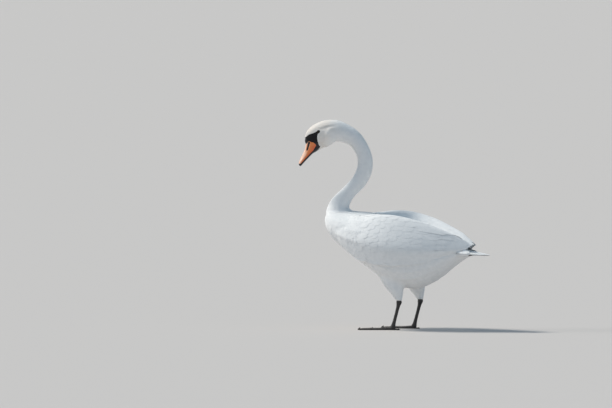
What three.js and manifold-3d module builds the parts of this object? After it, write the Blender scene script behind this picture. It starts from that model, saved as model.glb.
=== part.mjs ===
// A mute swan (Cygnus olor) at life size: a still, standing bird that looks down along its bill, with its
// neck bent in an S, its wings folded and both feet flat on the floor.
//
// Millimetres, +Z up. The bird faces -X and its left side is -Y. The origin is on the floor, under the
// middle of the bird's box. Until the last step x runs back from a point just before the breast.
//
// The trunk, the tail and the neck with the head are made whole and joined, and are then parted by thin
// cuts into the pieces that a person would name. The wings, the bill and the eyes are let into them.
import * as THREE from 'three';
import { mergeVertices } from 'three/addons/utils/BufferGeometryUtils.js';
import Module from 'manifold-3d';

const wasm = await Module();
wasm.setup();

// ---------------------------------------------------------------- driving dimensions

const GAP = 0.3; // left between pieces that touch
const LEFT = -1; // the sides of the bird, as the sign of y
const RIGHT = 1;
const NECK_TURN = THREE.MathUtils.degToRad(22); // the neck's plane, turned to the bird's left
const NECK_ROOT_X = 57; // the upright line that the neck's plane turns about

// Neck and head in the neck's own plane, from the bill over the crown and down into the breast. out is the
// way back from the upright line at the neck's root; deep and wide are half the depth and half the width.
const NECK_LINE = [
  { at: 'bill base', out: -91, z: 662, deep: 33.5, wide: 14 },
  { at: 'lores', out: -85, z: 676.3, deep: 43.5, wide: 23.5 },
  { at: 'eyes', out: -72.7, z: 688, deep: 47, wide: 30 },
  { at: 'crown', out: -47.6, z: 702, deep: 45.7, wide: 33.5 },
  { at: 'nape', out: -23, z: 709, deep: 41, wide: 33 },
  { at: 'head end', out: -1, z: 708, deep: 36.5, wide: 31 },
  { at: 'crest', out: 40, z: 691, deep: 31, wide: 28.5 },
  { at: 'upper bend', out: 67, z: 666, deep: 27, wide: 26.5 },
  { at: 'back of the S', out: 90, z: 622, deep: 26.5, wide: 26 },
  { at: 'middle', out: 92, z: 575, deep: 27.5, wide: 26.5 },
  { at: 'lower bend', out: 72, z: 530, deep: 27, wide: 27 },
  { at: 'front of the S', out: 32, z: 487, deep: 25.5, wide: 29 },
  { at: 'neck root', out: 3, z: 447, deep: 35, wide: 39 },
  { at: 'breast', out: -1, z: 414, deep: 48, wide: 54 },
  { at: 'inside', out: 12, z: 376, deep: 44, wide: 50 },
];
const NECK_RINGS = 40;
const NECK_SIDES = 20;

// The cuts that part the neck, as a share of its line from the bill, each with its disc's radius.
const NECK_CUTS = [
  { at: 0.365, radius: 50 },
  { at: 0.55, radius: 45 },
  { at: 0.705, radius: 45 },
  { at: 0.85, radius: 56 },
];

// Trunk sections from the breast to the tail: each runs from a point of the back to one of the keel.
const TRUNK_LINE = [
  { back: [17, 406], keel: [16, 392], half: 16 },
  { back: [25, 418], keel: [22, 369], half: 51 },
  { back: [46, 427], keel: [36, 343], half: 81 },
  { back: [80, 425], keel: [62, 313], half: 102 },
  { back: [118, 421], keel: [107, 277], half: 116 },
  { back: [162, 419], keel: [160, 240], half: 126 },
  { back: [212, 412], keel: [214, 203], half: 131 },
  { back: [266, 400], keel: [266, 168], half: 130 },
  { back: [326, 385], keel: [328, 148], half: 122 },
  { back: [386, 366], keel: [390, 154], half: 108 },
  { back: [446, 343], keel: [452, 188], half: 87 },
  { back: [504, 318], keel: [513, 234], half: 61 },
  { back: [556, 298], keel: [564, 266], half: 34 },
];
const TRUNK_RINGS = 20;
const TRUNK_SIDES = 22;
const TRUNK_SQUARENESS = 0.88; // under 1 fills the corners of a section, as full flanks do

// Tail: a blunt wedge of stacked feathers, from inside the trunk to its point.
const TAIL_LINE = [
  { x: 470, z: 285, wide: 40, thick: 26 },
  { x: 520, z: 284, wide: 48, thick: 21 },
  { x: 565, z: 281, wide: 51, thick: 13 },
  { x: 600, z: 277, wide: 43, thick: 7 },
  { x: 630, z: 273, wide: 25, thick: 4 },
  { x: 648, z: 271, wide: 8, thick: 2 },
];
const TAIL_RINGS = 8;
const TAIL_SIDES = 16;
const TAIL_DROOP = 0.12; // how far the edges of the tail hang, as a share of its half width
const TAIL_CUT_X = 512;

// Folded wings: the edge on the back, the ridge, the side's widest line and the lower edge, as (y, z).
const WING_LINE = [
  { x: 94, inner: [62, 404], ridge: [82, 394], side: [112, 352], low: [98, 322], thick: 12 },
  { x: 128, inner: [50, 411], ridge: [88, 404], side: [128, 346], low: [108, 290], thick: 16 },
  { x: 180, inner: [44, 413], ridge: [92, 413], side: [139, 338], low: [122, 266], thick: 20 },
  { x: 240, inner: [38, 406], ridge: [91, 420], side: [144, 330], low: [130, 253], thick: 21 },
  { x: 300, inner: [31, 395], ridge: [85, 419], side: [140, 322], low: [129, 247], thick: 20 },
  { x: 360, inner: [23, 381], ridge: [74, 409], side: [127, 314], low: [118, 248], thick: 18 },
  { x: 420, inner: [16, 365], ridge: [60, 393], side: [106, 309], low: [99, 255], thick: 15 },
  { x: 480, inner: [10, 346], ridge: [46, 369], side: [79, 304], low: [72, 268], thick: 12 },
  { x: 530, inner: [6, 328], ridge: [32, 346], side: [54, 301], low: [48, 281], thick: 9 },
  { x: 562, inner: [5, 315], ridge: [22, 326], side: [35, 303], low: [31, 292], thick: 6 },
  { x: 584, inner: [8, 307], ridge: [14, 310], side: [20, 304], low: [18, 300], thick: 3 },
];
const LEFT_WING_DROP = 10; // the left wing hangs this much lower than the right, halfway along
const WING_RINGS = 15;
const WING_ARC_POINTS = 8;

// Bill in the neck's plane: ridge, cutting edge and lower edge from base to tip, and half its width.
const BILL_LINE = [
  { top: [-108, 694], edge: [-72, 656], under: [-76, 641], wide: 17.5 },
  { top: [-119, 672], edge: [-83, 648], under: [-84, 634], wide: 16.5 },
  { top: [-124, 645], edge: [-97, 634], under: [-96, 627], wide: 15.5 },
  { top: [-133, 624], edge: [-114, 616], under: [-113, 610], wide: 15.5 },
  { top: [-142, 606], edge: [-129, 600], under: [-127, 595], wide: 14.5 },
  { top: [-146, 594], edge: [-138, 589], under: [-136, 585], wide: 10 },
  { top: [-145, 585], edge: [-142, 583.5], under: [-140, 582], wide: 4 },
];
const BILL_RINGS = 8;
const BILL_ARC_POINTS = 8;
const KNOB = { out: -112.8, z: 678, long: 18, deep: 12, wide: 11, lean: 70 }; // over the base of the bill

const EYE = { out: -74, z: 707, side: 24.4, radius: 6.4 };

// Legs: a feathered thigh, a bare shank that leans forward and a flat webbed foot.
const LEG_SPREAD = 62; // from the middle of the bird to the middle of each foot
const STRIDE = 14; // the left foot stands this far ahead of the middle of the two, the right one behind
const THIGH_LINE = [
  { x: 292, z: 236, long: 54, wide: 34 },
  { x: 304, z: 190, long: 47, wide: 32 },
  { x: 318, z: 152, long: 34, wide: 25 },
  { x: 329, z: 124, long: 19, wide: 15 },
  { x: 334, z: 108, long: 11, wide: 9 },
];
const SHANK_LINE = [
  { x: 334, z: 110, long: 8.5, wide: 7.5 },
  { x: 335, z: 99, long: 10.5, wide: 9 },
  { x: 331, z: 84, long: 7, wide: 5.6 },
  { x: 321, z: 48, long: 6.4, wide: 5 },
  { x: 315, z: 27, long: 7, wide: 6 },
  { x: 311, z: 13, long: 9, wide: 8.5 },
];
const LEG_SIDES = 10;
const HEEL_CUT_Z = 106;
const ANKLE_CUT_Z = 21;
const TOE_ROOT = { x: 308, z: 9 };
const TOES = [
  { turn: 25, length: 104, thick: 5.4 },
  { turn: 2, length: 130, thick: 6 },
  { turn: -21, length: 122, thick: 5.6 },
];
const HIND_TOE = { turn: 172, length: 27, thick: 4.2 };
const TOE_SIDES = 8;
const FOOT_TURN = 6; // each foot points this many degrees outwards
const WEB_THICK = 3.2;

// ---------------------------------------------------------------- materials

const finish = (color, roughness) => new THREE.MeshStandardMaterial({ color, roughness, metalness: 0 });
const MATERIALS = {
  plumage: finish(0xf2f1ec, 0.8),
  bill: finish(0xe2703a, 0.38),
  mask: finish(0x17161a, 0.5),
  eye: finish(0x120d0a, 0.08),
  leg: finish(0x35353a, 0.6),
};

// ---------------------------------------------------------------- solids

// A manifold-3d solid from flat lists of coordinates and triangle corners, turned to face out.
function solidOf(positions, corners) {
  const build = (triVerts) => new wasm.Manifold(
    new wasm.Mesh({
      numProp: 3,
      vertProperties: new Float32Array(positions),
      triVerts: new Uint32Array(triVerts),
    }),
  );
  const made = build(corners);
  if (made.volume() > 0) return made;
  return build(corners.toReversed());
}

// A closed body through rings of points that all have the same, even count. Each end is closed by strips
// from the first half of its ring to the second, so that a crescent closes as well as a circle does.
function solidOfRings(rings) {
  const sides = rings[0].length;
  const points = rings.flat();
  const lastRing = points.length - sides;
  const corners = [];
  for (let first = 0; first < lastRing; first += sides) {
    for (let s = 0; s < sides; s++) {
      const a = first + s;
      const b = first + ((s + 1) % sides);
      corners.push(a, b, a + sides, b, b + sides, a + sides);
    }
  }
  for (let s = 0; s < sides / 2 - 1; s++) {
    const far = sides - 1 - s;
    corners.push(s, far, s + 1, s + 1, far, far - 1);
    corners.push(lastRing + s, lastRing + s + 1, lastRing + far);
    corners.push(lastRing + s + 1, lastRing + far - 1, lastRing + far);
  }
  return solidOf(points.flatMap((p) => p.toArray()), corners);
}

// A manifold-3d solid from a closed three.js geometry.
function solidOfGeometry(geometry) {
  geometry.deleteAttribute('normal');
  geometry.deleteAttribute('uv');
  const merged = mergeVertices(geometry, 1e-4);
  return solidOf(Array.from(merged.attributes.position.array), Array.from(merged.index.array));
}

function geometryOfSolid(solid) {
  const mesh = solid.getMesh();
  const geometry = new THREE.BufferGeometry();
  const positions = new Float32Array(mesh.vertProperties);
  geometry.setAttribute('position', new THREE.BufferAttribute(positions, mesh.numProp));
  geometry.setIndex(new THREE.BufferAttribute(new Uint32Array(mesh.triVerts), 1));
  geometry.computeVertexNormals();
  return geometry;
}

// The bodies of a solid that are worth keeping, in order of a measure taken at the middle of each one's box.
function bodiesBy(solid, measure) {
  const middle = (body) => {
    const box = body.boundingBox();
    return new THREE.Vector3(...box.min).add(new THREE.Vector3(...box.max)).multiplyScalar(0.5);
  };
  return solid
    .decompose()
    .filter((body) => body.volume() > 500)
    .sort((a, b) => measure(middle(a)) - measure(middle(b)));
}

const joined = (solids) => solids.reduce((sum, solid) => sum.add(solid));
const lessAll = (solid, cuts) => cuts.reduce((left, cut) => left.subtract(cut), solid);

// ---------------------------------------------------------------- smooth tables

// A smooth value through a table at a share of its length: read picks the number from an entry.
function along(table, share, read) {
  const curve = new THREE.SplineCurve(table.map((entry, i) => new THREE.Vector2(i, read(entry))));
  return curve.getPoint(share).y;
}

const signedPower = (value, power) => Math.sign(value) * Math.abs(value) ** power;

// ---------------------------------------------------------------- neck and head

// The point of the neck's plane at out and z, moved across it by side (to the bird's right if positive).
function inNeckPlane(out, z, side = 0) {
  return new THREE.Vector3(
    NECK_ROOT_X + out * Math.cos(NECK_TURN) - side * Math.sin(NECK_TURN),
    out * Math.sin(NECK_TURN) + side * Math.cos(NECK_TURN),
    z,
  );
}

const neckCurve = new THREE.SplineCurve(NECK_LINE.map((entry) => new THREE.Vector2(entry.out, entry.z)));

function neckSolid() {
  const rings = [];
  for (let r = 0; r <= NECK_RINGS; r++) {
    const share = r / NECK_RINGS;
    const middle = neckCurve.getPoint(share);
    const heading = neckCurve.getTangent(share);
    const deep = along(NECK_LINE, share, (entry) => entry.deep);
    const wide = along(NECK_LINE, share, (entry) => entry.wide);
    const ring = [];
    for (let s = 0; s < NECK_SIDES; s++) {
      const turn = (s / NECK_SIDES) * 2 * Math.PI;
      const lift = deep * Math.cos(turn);
      ring.push(inNeckPlane(middle.x - heading.y * lift, middle.y + heading.x * lift, wide * Math.sin(turn)));
    }
    rings.push(ring);
  }
  return solidOfRings(rings);
}

// A thin disc square to the neck's line, which parts the neck where it is cut away.
function neckDisc({ at, radius }) {
  const middle = neckCurve.getPoint(at);
  const heading = neckCurve.getTangent(at);
  const disc = new THREE.CylinderGeometry(radius, radius, GAP, 20);
  disc.applyMatrix4(new THREE.Matrix4().makeBasis(
    inNeckPlane(-heading.y, heading.x).sub(inNeckPlane(0, 0)),
    inNeckPlane(heading.x, heading.y).sub(inNeckPlane(0, 0)),
    inNeckPlane(0, 0, -1).sub(inNeckPlane(0, 0)),
  ));
  const { x, y, z } = inNeckPlane(middle.x, middle.y);
  disc.translate(x, y, z);
  return solidOfGeometry(disc);
}

// One jaw, domed from the cutting edge to the line called dome; grow is added on every side.
function jawSolid(dome, grow = 0) {
  const rings = [];
  for (let r = 0; r <= BILL_RINGS; r++) {
    const share = r / BILL_RINGS;
    const point = (key) => new THREE.Vector2(
      along(BILL_LINE, share, (entry) => entry[key][0]),
      along(BILL_LINE, share, (entry) => entry[key][1]),
    );
    const edge = point('edge');
    const up = point(dome).sub(edge);
    const height = up.length() + grow;
    up.normalize();
    const wide = along(BILL_LINE, share, (entry) => entry.wide) * (dome === 'top' ? 1 : 0.9) + grow;
    const ring = [];
    for (let s = 0; s < BILL_ARC_POINTS; s++) {
      const turn = (s / (BILL_ARC_POINTS - 1) - 0.5) * Math.PI;
      const lift = Math.max(height * signedPower(Math.cos(turn), 0.9), GAP / 2 - grow);
      const side = wide * signedPower(Math.sin(turn), 0.85);
      ring.push(inNeckPlane(edge.x + up.x * lift, edge.y + up.y * lift, side));
    }
    rings.push(ring);
  }
  return solidOfRings(rings);
}

function knobSolid(grow = 0) {
  const knob = new THREE.SphereGeometry(1, 12, 8);
  knob.scale(KNOB.long + grow, KNOB.deep + grow, KNOB.wide + grow);
  knob.rotateZ(THREE.MathUtils.degToRad(KNOB.lean));
  knob.rotateX(Math.PI / 2);
  knob.rotateZ(NECK_TURN);
  const { x, y, z } = inNeckPlane(KNOB.out, KNOB.z);
  knob.translate(x, y, z);
  return solidOfGeometry(knob);
}

function eyeSolid(side, grow = 0) {
  const ball = new THREE.SphereGeometry(EYE.radius + grow, 10, 7);
  const { x, y, z } = inNeckPlane(EYE.out, EYE.z, side * EYE.side);
  ball.translate(x, y, z);
  return solidOfGeometry(ball);
}

// ---------------------------------------------------------------- trunk, tail and wings

function trunkSolid(grow = 0) {
  const rings = [];
  for (let r = 0; r <= TRUNK_RINGS; r++) {
    const share = r / TRUNK_RINGS;
    const read = (key, axis) => along(TRUNK_LINE, share, (entry) => entry[key][axis]);
    const half = along(TRUNK_LINE, share, (entry) => entry.half) + grow;
    const ring = [];
    for (let s = 0; s < TRUNK_SIDES; s++) {
      const turn = (s / TRUNK_SIDES) * 2 * Math.PI;
      const rise = (1 + signedPower(Math.cos(turn), TRUNK_SQUARENESS)) / 2;
      ring.push(new THREE.Vector3(
        THREE.MathUtils.lerp(read('keel', 0), read('back', 0), rise),
        half * signedPower(Math.sin(turn), TRUNK_SQUARENESS),
        THREE.MathUtils.lerp(read('keel', 1) - grow, read('back', 1) + grow, rise),
      ));
    }
    rings.push(ring);
  }
  return solidOfRings(rings);
}

function tailSolid() {
  const rings = [];
  for (let r = 0; r <= TAIL_RINGS; r++) {
    const read = (key) => along(TAIL_LINE, r / TAIL_RINGS, (entry) => entry[key]);
    const ring = [];
    for (let s = 0; s < TAIL_SIDES; s++) {
      const turn = (s / TAIL_SIDES) * 2 * Math.PI;
      const droop = TAIL_DROOP * read('wide') * Math.sin(turn) ** 2;
      const lift = read('thick') * signedPower(Math.cos(turn), 0.8) - droop;
      ring.push(new THREE.Vector3(read('x'), read('wide') * Math.sin(turn), read('z') + lift));
    }
    rings.push(ring);
  }
  return solidOfRings(rings);
}

// A folded wing on one side, -1 for the left and 1 for the right, grown on every face by grow.
function wingSolid(side, grow = 0) {
  const rings = [];
  for (let r = 0; r <= WING_RINGS; r++) {
    const share = r / WING_RINGS;
    const reach = r === 0 ? -grow : r === WING_RINGS ? grow : 0;
    const x = along(WING_LINE, share, (entry) => entry.x) + reach;
    const thick = along(WING_LINE, share, (entry) => entry.thick);
    const drop = side === LEFT ? LEFT_WING_DROP * Math.sin(Math.PI * share) ** 0.6 : 0;
    const section = new THREE.SplineCurve(['inner', 'ridge', 'side', 'low'].map((key) => new THREE.Vector2(
      along(WING_LINE, share, (entry) => entry[key][0]),
      along(WING_LINE, share, (entry) => entry[key][1]),
    )));
    const outer = [];
    const inner = [];
    for (let i = 0; i < WING_ARC_POINTS; i++) {
      const v = i / (WING_ARC_POINTS - 1);
      const heading = section.getTangent(v);
      const outward = new THREE.Vector2(-heading.y, heading.x);
      const end = v === 0 ? -grow : v === 1 ? grow : 0;
      const point = section.getPoint(v).addScaledVector(heading, end);
      const depth = thick * (0.15 + 0.85 * Math.sin(Math.PI * v));
      outer.push(point.clone().addScaledVector(outward, grow));
      inner.push(point.clone().addScaledVector(outward, -depth - grow));
    }
    rings.push([...outer, ...inner.reverse()].map((p) => new THREE.Vector3(x, side * p.x, p.y - drop)));
  }
  return solidOfRings(rings);
}

// ---------------------------------------------------------------- legs

// A round-section length of leg through a table of middles, on one side.
function legLength(table, side) {
  const shift = side * STRIDE;
  const steps = (table.length - 1) * 2;
  const rings = [];
  for (let r = 0; r <= steps; r++) {
    const read = (key) => along(table, r / steps, (entry) => entry[key]);
    const ring = [];
    for (let s = 0; s < LEG_SIDES; s++) {
      const turn = (s / LEG_SIDES) * 2 * Math.PI;
      ring.push(new THREE.Vector3(
        read('x') + shift + read('long') * Math.cos(turn),
        side * LEG_SPREAD + read('wide') * Math.sin(turn),
        read('z'),
      ));
    }
    rings.push(ring);
  }
  return solidOfRings(rings);
}

// The way a toe points on one side, its turn in degrees being from straight ahead towards the bird's middle.
function toeHeading(side, turn) {
  const angle = THREE.MathUtils.degToRad(turn - FOOT_TURN);
  return new THREE.Vector3(-Math.cos(angle), -side * Math.sin(angle), 0);
}

// A tapering toe that lies on the floor, from the foot's joint to the end of its claw.
function toeSolid(side, { turn, length, thick }) {
  const heading = toeHeading(side, turn);
  const across = new THREE.Vector3(-heading.y, heading.x, 0);
  const root = new THREE.Vector3(TOE_ROOT.x + side * STRIDE, side * LEG_SPREAD, 0);
  const rings = [];
  for (const { at, high, size } of [
    { at: -0.04, high: 1.7, size: 1.15 },
    { at: 0.4, high: 1, size: 0.9 },
    { at: 0.7, high: 0.9, size: 0.85 },
    { at: 0.88, high: 0.8, size: 0.7 },
    { at: 1, high: 0.25, size: 0.2 },
  ]) {
    const ring = [];
    for (let s = 0; s < TOE_SIDES; s++) {
      const turned = (s / TOE_SIDES) * 2 * Math.PI;
      const up = Math.max(0, 0.45 + 0.75 * Math.sin(turned)) * thick * high;
      ring.push(root.clone()
        .addScaledVector(heading, at * length)
        .addScaledVector(across, Math.cos(turned) * thick * size)
        .setZ(up));
    }
    rings.push(ring);
  }
  return solidOfRings(rings);
}

// The web between the front toes, its front edge bowed in between their ends.
function webSolid(side) {
  const root = new THREE.Vector2(TOE_ROOT.x + side * STRIDE, side * LEG_SPREAD);
  const spot = (turn, reach) => {
    const heading = toeHeading(side, turn);
    return new THREE.Vector2(root.x + heading.x * reach, root.y + heading.y * reach);
  };
  const [inner, middle, outer] = TOES;
  const rim = new THREE.Path();
  rim.moveTo(root.x, root.y);
  rim.lineTo(...spot(inner.turn, inner.length * 0.9).toArray());
  for (const [from, to] of [[inner, middle], [middle, outer]]) {
    const bow = spot((from.turn + to.turn) / 2, Math.min(from.length, to.length) * 0.78);
    rim.quadraticCurveTo(...bow.toArray(), ...spot(to.turn, to.length * 0.9).toArray());
  }
  const outline = rim.getPoints(6);
  const web = new THREE.ExtrudeGeometry(new THREE.Shape(outline), { depth: WEB_THICK, bevelEnabled: false });
  return solidOfGeometry(web);
}

// Thigh, shank and foot of one side, parted by level cuts at the heel and over the foot's joint.
function legPieces(side) {
  const ball = new THREE.SphereGeometry(9.5, 8, 5);
  ball.scale(1.1, 1, 0.95);
  ball.translate(TOE_ROOT.x + side * STRIDE + 2, side * LEG_SPREAD, TOE_ROOT.z + 1);
  const whole = joined([
    legLength(THIGH_LINE, side),
    legLength(SHANK_LINE, side),
    solidOfGeometry(ball),
    webSolid(side),
    ...[...TOES, HIND_TOE].map((toe) => toeSolid(side, toe)),
  ]);
  const level = (z) => {
    const slab = new THREE.BoxGeometry(80, 60, GAP);
    slab.translate(THIGH_LINE.at(-1).x + side * STRIDE, side * LEG_SPREAD, z);
    return solidOfGeometry(slab);
  };
  return bodiesBy(lessAll(whole, [level(HEEL_CUT_Z), level(ANKLE_CUT_Z)]), (middle) => middle.z);
}

// ---------------------------------------------------------------- the bird

const pieces = {};

const wingCuts = [wingSolid(LEFT, GAP), wingSolid(RIGHT, GAP)];
const tailCut = new THREE.BoxGeometry(GAP, 200, 200);
tailCut.translate(TAIL_CUT_X, 0, 280);

const headCuts = [
  jawSolid('top', GAP),
  jawSolid('under', GAP),
  knobSolid(GAP),
  eyeSolid(LEFT, GAP),
  eyeSolid(RIGHT, GAP),
];
const flesh = lessAll(joined([trunkSolid(), tailSolid(), neckSolid()]), [
  ...wingCuts,
  ...headCuts,
  ...NECK_CUTS.map(neckDisc),
  solidOfGeometry(tailCut),
]);
const fleshNames = ['tail', 'trunk', 'neck_root', 'neck_middle', 'neck_crest', 'head'];
bodiesBy(flesh, (middle) => middle.z).forEach((body, i) => {
  pieces[fleshNames[i]] = { solid: body, material: MATERIALS.plumage };
});
pieces.bill_upper = { solid: jawSolid('top').subtract(knobSolid(GAP)), material: MATERIALS.bill };
pieces.bill_lower = { solid: jawSolid('under'), material: MATERIALS.mask };
pieces.bill_knob = { solid: knobSolid(), material: MATERIALS.mask };

for (const [side, name] of [[LEFT, 'left'], [RIGHT, 'right']]) {
  const [foot, shank, wholeThigh] = legPieces(side);
  const thigh = lessAll(wholeThigh, [trunkSolid(GAP), ...wingCuts]);
  pieces[`wing_${name}`] = { solid: wingSolid(side), material: MATERIALS.plumage };
  pieces[`thigh_${name}`] = { solid: thigh, material: MATERIALS.plumage };
  pieces[`shank_${name}`] = { solid: shank, material: MATERIALS.leg };
  pieces[`foot_${name}`] = { solid: foot, material: MATERIALS.leg };
  pieces[`eye_${name}`] = { solid: eyeSolid(side), material: MATERIALS.eye };
}

const group = new THREE.Group();
for (const [name, { solid, material }] of Object.entries(pieces)) {
  const mesh = new THREE.Mesh(geometryOfSolid(solid), material);
  mesh.name = name;
  group.add(mesh);
}
const box = new THREE.Box3().setFromObject(group);
const middle = box.getCenter(new THREE.Vector3());
for (const mesh of group.children) mesh.geometry.translate(-middle.x, -middle.y, -box.min.z);

export default group;
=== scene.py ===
"""A mute swan, standing with its neck bent in an S: skin, plumage, bill, eyes and legs round the CAD frame.

Metres, +Z up. The bird faces -X and its left side is -Y. Sizes in the tables are in millimetres in the bird's
own frame: x runs back from just before the breast, out runs back in the neck's plane from the neck's root.
"""

import math

import bmesh
import bpy
import numpy as np
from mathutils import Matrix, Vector
from mathutils.bvhtree import BVHTree
from mathutils.kdtree import KDTree


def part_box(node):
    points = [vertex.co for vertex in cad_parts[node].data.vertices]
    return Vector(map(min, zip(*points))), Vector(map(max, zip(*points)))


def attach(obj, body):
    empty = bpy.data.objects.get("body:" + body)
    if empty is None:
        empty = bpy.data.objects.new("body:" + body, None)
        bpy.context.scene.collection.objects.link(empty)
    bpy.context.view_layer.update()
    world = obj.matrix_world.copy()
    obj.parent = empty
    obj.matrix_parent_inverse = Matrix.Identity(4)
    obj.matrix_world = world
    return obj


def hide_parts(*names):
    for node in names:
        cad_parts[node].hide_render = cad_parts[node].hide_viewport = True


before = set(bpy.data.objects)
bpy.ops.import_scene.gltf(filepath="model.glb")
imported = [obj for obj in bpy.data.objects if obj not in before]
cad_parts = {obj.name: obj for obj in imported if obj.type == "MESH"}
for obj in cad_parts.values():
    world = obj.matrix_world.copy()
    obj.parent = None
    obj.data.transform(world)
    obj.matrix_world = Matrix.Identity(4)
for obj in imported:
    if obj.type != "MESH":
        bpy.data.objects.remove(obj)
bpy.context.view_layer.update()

RNG = np.random.default_rng(7)
MM = 0.001

# ---------------- the bird's frame

TAIL_TIP_X = 648.0
SHIFT_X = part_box("tail")[1].x / MM - TAIL_TIP_X  # from the bird's own x to the row's
NECK_TURN = math.radians(22)
NECK_ROOT_X = 57.0
AHEAD = np.array([math.cos(NECK_TURN), math.sin(NECK_TURN), 0.0])  # back along the neck's plane
ACROSS = np.array([-math.sin(NECK_TURN), math.cos(NECK_TURN), 0.0])  # to the bird's right of that plane


def body_point(x, y, z):
    """A point of the row frame, in metres, from the bird's own millimetres."""
    return np.array([x + SHIFT_X, y, z], float) * MM


def head_point(out, z, side=0.0):
    """The same for the neck's plane, moved across it by side."""
    out, z, side = np.broadcast_arrays(np.asarray(out, float), np.asarray(z, float), np.asarray(side, float))
    p = out[..., None] * AHEAD + side[..., None] * ACROSS
    p[..., 0] += NECK_ROOT_X + SHIFT_X
    p[..., 2] += z
    return p * MM


def own_x(points):
    """The bird's own x, in millimetres, of points of the row frame."""
    return points[:, 0] / MM - SHIFT_X


def head_coords(p):
    """out, z and side, in millimetres, of points of the row frame."""
    rel = np.asarray(p, float) / MM - np.array([NECK_ROOT_X + SHIFT_X, 0, 0])
    return rel @ AHEAD, rel[..., 2], rel @ ACROSS


# The line that the feathers lie along: from the bill over the head, down the neck and back to the tail.
NECK_LINE = [(-91, 662), (-85, 676), (-73, 688), (-48, 702), (-23, 709), (-1, 708), (40, 691), (67, 666),
             (90, 622), (92, 575), (72, 530), (32, 487), (5, 450), (2, 415)]
BODY_LINE = [(75, 372), (120, 335), (200, 303), (300, 287), (400, 285), (500, 287), (575, 281), (648, 271)]


def catmull(points, steps):
    """Points evenly spaced in the table along a Catmull-Rom curve, an array in and out."""
    p = np.asarray(points, float)
    p = np.vstack([2 * p[0] - p[1], p, 2 * p[-1] - p[-2]])
    t = np.linspace(0, len(p) - 3 - 1e-9, steps)
    i = t.astype(int)
    f = (t - i)[:, None]
    a, b, c, d = p[i], p[i + 1], p[i + 2], p[i + 3]
    return 0.5 * (2 * b + (c - a) * f + (2 * a - 5 * b + 4 * c - d) * f**2 + (3 * b - a - 3 * c + d) * f**3)


def run_along(points):
    """How far along a line each of its points is."""
    return np.concatenate([[0], np.cumsum(np.linalg.norm(np.diff(points, axis=0), axis=1))])


LINE = np.vstack([head_point(*np.array(NECK_LINE, float).T), [body_point(x, 0, z) for x, z in BODY_LINE]])
LINE = catmull(LINE, 360)
LINE_AT = run_along(LINE) / MM  # mm from the bill
LINE_TANGENT = np.gradient(LINE, axis=0)
LINE_TANGENT /= np.linalg.norm(LINE_TANGENT, axis=1)[:, None]
LINE_REACH = 0.03  # metres over which the line's headings blend, for points on the inside of its bends
CHUNK = 4000  # points worked on at a time, which keeps the memory small


def unit(v):
    return v / np.maximum(np.linalg.norm(v, axis=-1, keepdims=True), 1e-12)


def laid(d, normal):
    """Directions turned into the planes across the normals."""
    return unit(d - (d * normal).sum(1)[:, None] * normal)


def step(x, low, high):
    """0 below low, 1 above high and smooth between."""
    t = np.clip((np.asarray(x, float) - low) / (high - low), 0, 1)
    return t * t * (3 - 2 * t)


def along_line(p):
    """How far along the bird's line points are, in mm, and the line's direction near each."""
    at = np.empty(len(p))
    heading = np.empty((len(p), 3))
    for k in range(0, len(p), CHUNK):
        d = np.linalg.norm(p[k:k + CHUNK, None] - LINE[None], axis=2)
        least = d.min(1, keepdims=True)
        w = np.exp(-((d**2 - least**2) / (LINE_REACH**2)))
        w /= w.sum(1, keepdims=True)
        at[k:k + CHUNK] = w @ LINE_AT
        heading[k:k + CHUNK] = unit(w @ LINE_TANGENT)
    return at, heading


# ---------------- meshes

def mesh_of(name, co, *face_sets):
    """A mesh of vertices and arrays of faces, each array holding faces of one size."""
    mesh = bpy.data.meshes.new(name)
    corners = np.concatenate([f.ravel() for f in face_sets])
    sizes = np.concatenate([np.full(len(f), f.shape[1]) for f in face_sets])
    mesh.vertices.add(len(co))
    mesh.vertices.foreach_set("co", np.asarray(co, np.float32).ravel())
    mesh.loops.add(len(corners))
    mesh.loops.foreach_set("vertex_index", corners.astype(np.int32))
    mesh.polygons.add(len(sizes))
    mesh.polygons.foreach_set("loop_start", np.concatenate([[0], np.cumsum(sizes)[:-1]]).astype(np.int32))
    mesh.update(calc_edges=True)
    mesh.validate()
    return mesh


def in_scene(name, data):
    obj = bpy.data.objects.new(name, data)
    bpy.context.scene.collection.objects.link(obj)
    return obj


def new_object(name, mesh, finish):
    mesh.materials.append(finish)
    mesh.shade_smooth()
    return in_scene(name, mesh)


def numbers(items, field, width):
    """A field of many parts of a mesh, as rows of floats."""
    got = np.empty(len(items) * width, np.float32)
    items.foreach_get(field, got)
    return got.reshape(-1, width).astype(float)


def indices(items, field, width):
    """The same for whole numbers."""
    got = np.empty(len(items) * width, np.int32)
    items.foreach_get(field, got)
    return got.reshape(-1, width)


def triangles(mesh):
    mesh.calc_loop_triangles()
    return indices(mesh.loop_triangles, "vertices", 3)


def move_points(mesh, co):
    mesh.vertices.foreach_set("co", np.asarray(co, np.float32).ravel())
    mesh.update()


def unit_ball(name, around, along):
    """A sphere's mesh of radius 1, and its vertices."""
    bm = bmesh.new()
    bmesh.ops.create_uvsphere(bm, u_segments=around, v_segments=along, radius=1)
    mesh = bpy.data.meshes.new(name)
    bm.to_mesh(mesh)
    bm.free()
    return mesh, numbers(mesh.vertices, "co", 3)


def closed_mesh(name, co, faces):
    """A mesh of points in millimetres and lists of faces, with every face turned outward."""
    mesh = bpy.data.meshes.new(name)
    mesh.from_pydata((np.asarray(co) * MM).tolist(), [], faces)
    bm = bmesh.new()
    bm.from_mesh(mesh)
    bmesh.ops.recalc_face_normals(bm, faces=bm.faces)
    bm.to_mesh(mesh)
    bm.free()
    return mesh


def float_attribute(mesh, name, values):
    mesh.attributes.new(name, "FLOAT", "POINT").data.foreach_set("value", np.asarray(values, np.float32))


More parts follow.
